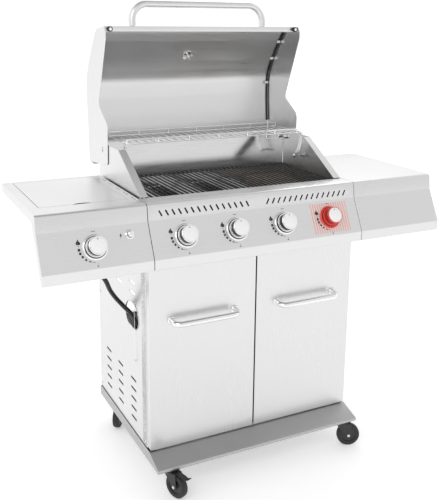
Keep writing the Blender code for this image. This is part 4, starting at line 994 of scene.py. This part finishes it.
def make_caster(name, x, y, heading):
    at = caster_frame(x, y, heading)
    crown = turned(((0, 0.0735), (0.0195, 0.0735), (0.0208, 0.0742), (0.021, 0.0755), (0.0206, 0.077),
                    (0.019, 0.0775), (0, 0.0775)), 32, at)
    leg = rounded([(-0.018, 0.0758), (0.038, 0.0758), (TRAIL + 0.01, HUB), (TRAIL + 0.0065, HUB - 0.0075),
                   (TRAIL - 0.0065, HUB - 0.0075), (TRAIL - 0.01, HUB)], 0.006, 4, True)
    legs = [extruded(leg, "Y", *mirrored(side, 0.0135, 0.0158)) for side in (-1, 1)]
    plate = rounded(rectangle(-0.018, 0.038, -0.0156, 0.0156), 0.003, 3, True)
    bridge = extruded(plate, "Z", 0.0739, 0.0757)
    fork = joined([crown, *[moved(shape, at) for shape in (*legs, bridge)]])
    add(f"caster_fork_{name}_pressed", fork, f"{name}_fork", BLACK, [f"caster_fork_{name}"], 0.0006)
    axle = [turned(((0, 0.0136), (0.0055, 0.0158), (0.0055, 0.017), (0.0044, 0.0179), (0, 0.0181)), 6,
                   at @ placed(TRAIL, 0, HUB, -side * math.pi / 2, "X"))
            for side in (-1, 1)]
    axle.append(moved(rod((TRAIL, -0.015, HUB), (TRAIL, 0.015, HUB), 0.0036, 16), at))
    add(f"caster_axle_{name}", joined(axle), f"{name}_fork", STEEL_X, crease=30)
    stand = at @ placed(TRAIL, 0, HUB, math.pi / 2, "X")
    tyre = ((0.027, -0.0104), (0.0335, -0.0118), (0.0372, -0.0112), (0.0397, -0.0088), (0.0405, -0.0055),
            (0.0405, 0.0055), (0.0397, 0.0088), (0.0372, 0.0112), (0.0335, 0.0118), (0.027, 0.0104))
    add(f"caster_wheel_{name}_tyre", turned(tyre, 48, stand), f"{name}_wheel", RUBBER,
        [f"caster_wheel_{name}"], crease=50)
    hub = ((0.0045, -0.012), (0.009, -0.012), (0.0098, -0.0112), (0.01, -0.007), (0.016, -0.006),
           (0.0245, -0.007), (0.0255, -0.01), (0.0271, -0.0103), (0.0271, 0.0103), (0.0255, 0.01),
           (0.0245, 0.007), (0.016, 0.006), (0.01, 0.007), (0.0098, 0.0112), (0.009, 0.012),
           (0.0045, 0.012))
    add(f"caster_wheel_{name}_hub", turned(hub, 48, stand), f"{name}_wheel", BLACK, crease=40)


def make_casters():
    for name, (x, y, heading) in CASTERS.items():
        make_caster(name, x, y, heading)
    at = caster_frame(*CASTERS["front_left"])
    tab = rounded([(0.0405, 0.0745), (0.058, 0.0725), (0.073, 0.069), (0.087, 0.076), (0.0862, 0.0778),
                   (0.0725, 0.071), (0.058, 0.0745), (0.0405, 0.0765)], 0.004, 4, True)
    lever = moved(extruded(tab, "Y", -0.009, 0.009), at)
    add("brake_lever_tab", lever, "brake", BLACK, ["brake_lever"], 0.0006)
    ribs = [moved(rod((x, -0.007, z), (x, 0.007, z), 0.0008, 8), at)
            for x, z in [(0.076 + 0.0035 * i, 0.0729 + 0.0018 * i) for i in range(3)]]
    add("brake_lever_ribs", joined(ribs), "brake", BLACK)


# Hose, drip system and lighting stick

HOSE_ROUTE = (
    (SIDE_KNOB_X, 0.0585, 0.815), (SIDE_KNOB_X, 0.085, 0.8145), (SIDE_KNOB_X, 0.112, 0.806),
    (-0.542, 0.135, 0.785), (-0.524, 0.142, 0.752), (-0.499, 0.136, 0.714), (-0.47, 0.137, 0.672),
    (-0.449, 0.156, 0.6296), (-0.427, 0.1733, 0.5961), (-0.408, 0.1802, 0.5715), (-0.391, 0.18, 0.551),
    (-0.377, 0.172, 0.5342), (-0.367, 0.162, 0.5169), (-0.36, 0.1535, 0.4942), (-0.354, 0.148, 0.468),
    (-0.344, 0.14, 0.44), (-0.325, 0.13, 0.418), (-0.298, 0.116, 0.41), (-0.27, 0.101, 0.418),
    (-0.251, 0.088, 0.441), (-0.244, 0.076, 0.476), (-0.248, 0.065, 0.53), (-0.265, 0.057, 0.595),
    (-0.29, 0.051, 0.655), (-0.316, 0.044, 0.707), (-0.338, 0.034, 0.749), (-0.35, 0.0245, 0.782),
    (-0.35, 0.024, 0.8012),
)
HOSE_RADIUS, HOSE_LENGTH = 0.0075, 1.02


def smooth_route(points, steps=8):
    """A Catmull-Rom curve through the points."""
    points = [Vector(p) for p in points]
    ends = [2 * points[0] - points[1], *points, 2 * points[-1] - points[-2]]
    fine = []
    for before, start, end, after in zip(ends, ends[1:], ends[2:], ends[3:]):
        for step in range(steps):
            t = step / steps
            bend = 2 * before - 5 * start + 4 * end - after
            twist = 3 * start - before - 3 * end + after
            fine.append(0.5 * (2 * start + (end - before) * t + bend * t**2 + twist * t**3))
    return [*fine, points[-1]]


def make_hose():
    line = smooth_route(HOSE_ROUTE)
    profile = ((0.0076, 0.0), (0.009, 0.0), (0.0094, 0.0008), (0.0094, 0.015), (0.009, 0.016),
               (0.0076, 0.016))
    ends = []
    for start, towards in ((line[0], line[6]), (line[-1], line[-7])):
        turn = (towards - start).to_track_quat("Z", "Y").to_matrix().to_4x4()
        foot = start + (towards - start).normalized() * 0.001
        ends.append(turned(profile, 24, Matrix.Translation(foot) @ turn))
    ferrules = add("gas_hose_ferrules", joined(ends), "frame", BRASS, crease=50)
    hose = add("gas_hose_tube", tube(line, HOSE_RADIUS, 20), "frame", HOSE, ["gas_hose"], crease=60)


def make_drip_system():
    dress("grease_tray", GREY)
    dress("grease_cup", STEEL_X)


def make_lighting_stick():
    low, high = span("lighting_stick")
    x = (low.x + high.x) / 2
    y, z = STICK_PEG
    foot = low.z + 0.009
    thin, eye_radius, coil_radius = 0.0007, 0.004, 0.0022
    eye = tube([(x, a, b) for a, b in ellipse(y, z, eye_radius, eye_radius, 24)], thin, 8, True)
    wire = tube([(x, y, z - eye_radius), (x, y, (z + foot) / 2), (x, y, foot - 0.0015)], thin, 8)
    coil = tube([(x + coil_radius * math.cos(t), y + coil_radius * math.sin(t), foot - 0.0088 * t / 25.0)
                 for t in [25.0 * i / 96 for i in range(97)]], thin, 8)
    add("lighting_stick_wire", joined([eye, wire, coil]), "match_stick", CHROME, ["lighting_stick"],
        crease=60)


# Stage

FLOOR_REACH = 14.0
# Each lamp: its place, its energy in watts and its width.
LAMPS = {"key": ((-2.6, -2.6, 3.4), 26.0, 2.0), "fill": ((1.6, 2.2, 3.4), 12.0, 2.0)}
LAMP_TARGET = Vector((0, 0, 0.8))


def make_stage():
    """A white floor, a pale world that dims towards the front and overhead, and two soft lamps."""
    scene = bpy.context.scene
    scene.view_settings.view_transform = "Standard"
    floor_mesh = bmesh.new()
    corners = rectangle(-FLOOR_REACH, FLOOR_REACH, -FLOOR_REACH, FLOOR_REACH)
    floor_mesh.faces.new([floor_mesh.verts.new((x, y, 0)) for x, y in corners])
    floor = linked("floor", floor_mesh)
    material = bpy.data.materials.new("floor_white")
    material.use_nodes = True
    shader = material.node_tree.nodes["Principled BSDF"]
    shader.inputs["Base Color"].default_value = (0.88, 0.88, 0.88, 1)
    shader.inputs["Roughness"].default_value = 0.9
    shader.inputs["Specular IOR Level"].default_value = 0.1
    shader.inputs["Emission Color"].default_value = (1, 1, 1, 1)
    way = node(material.node_tree, "ShaderNodeTexCoord").outputs["Object"]
    reach = node(material.node_tree, "ShaderNodeVectorMath", {0: way}, operation="LENGTH").outputs["Value"]
    material.node_tree.links.new(ramp(material.node_tree, reach, 0.32, 0.4, 1.0, 4.5),
                                 shader.inputs["Emission Strength"])
    floor.data.materials.append(material)
    world = bpy.data.worlds.new("studio")
    scene.world = world
    world.use_nodes = True
    tree = world.node_tree
    background = tree.nodes["Background"]
    way = node(tree, "ShaderNodeTexCoord").outputs["Generated"]
    parts = node(tree, "ShaderNodeSeparateXYZ", {"Vector": way})
    front = ramp(tree, parts.outputs["Y"], 0.86, 1.12, -0.6, 0.3)
    top = ramp(tree, parts.outputs["Z"], 1.0, 0.45, 0.72, 0.92)
    level = node(tree, "ShaderNodeMath", {0: front, 1: top}, operation="MULTIPLY").outputs[0]
    tree.links.new(level, background.inputs["Strength"])
    background.inputs["Color"].default_value = (1, 1, 1, 1)
    for name, (location, energy, width) in LAMPS.items():
        light = bpy.data.lights.new(name, "AREA")
        light.energy = energy
        light.size = width
        lamp = bpy.data.objects.new(name, light)
        bpy.context.collection.objects.link(lamp)
        lamp.location = location
        lamp.rotation_mode = "QUATERNION"
        lamp.rotation_quaternion = (LAMP_TARGET - Vector(location)).to_track_quat("-Z", "Y")


make_camera()
make_hose()
make_stage()
make_control_panel()
for shelf_name, shelf_side in SIDES:
    make_shelf(shelf_name, shelf_side)
make_controls()
make_side_burner_lid()
make_cabinet()
make_firebox()
make_grate("grate_left")
make_grate("grate_right")
make_side_grate()
make_lid()
make_rack()
for door_name, door_side in SIDES:
    make_door(door_name, door_side)
make_painted_shade_gaps()
make_edge_strip()
make_casters()
make_drip_system()
make_lighting_stick()
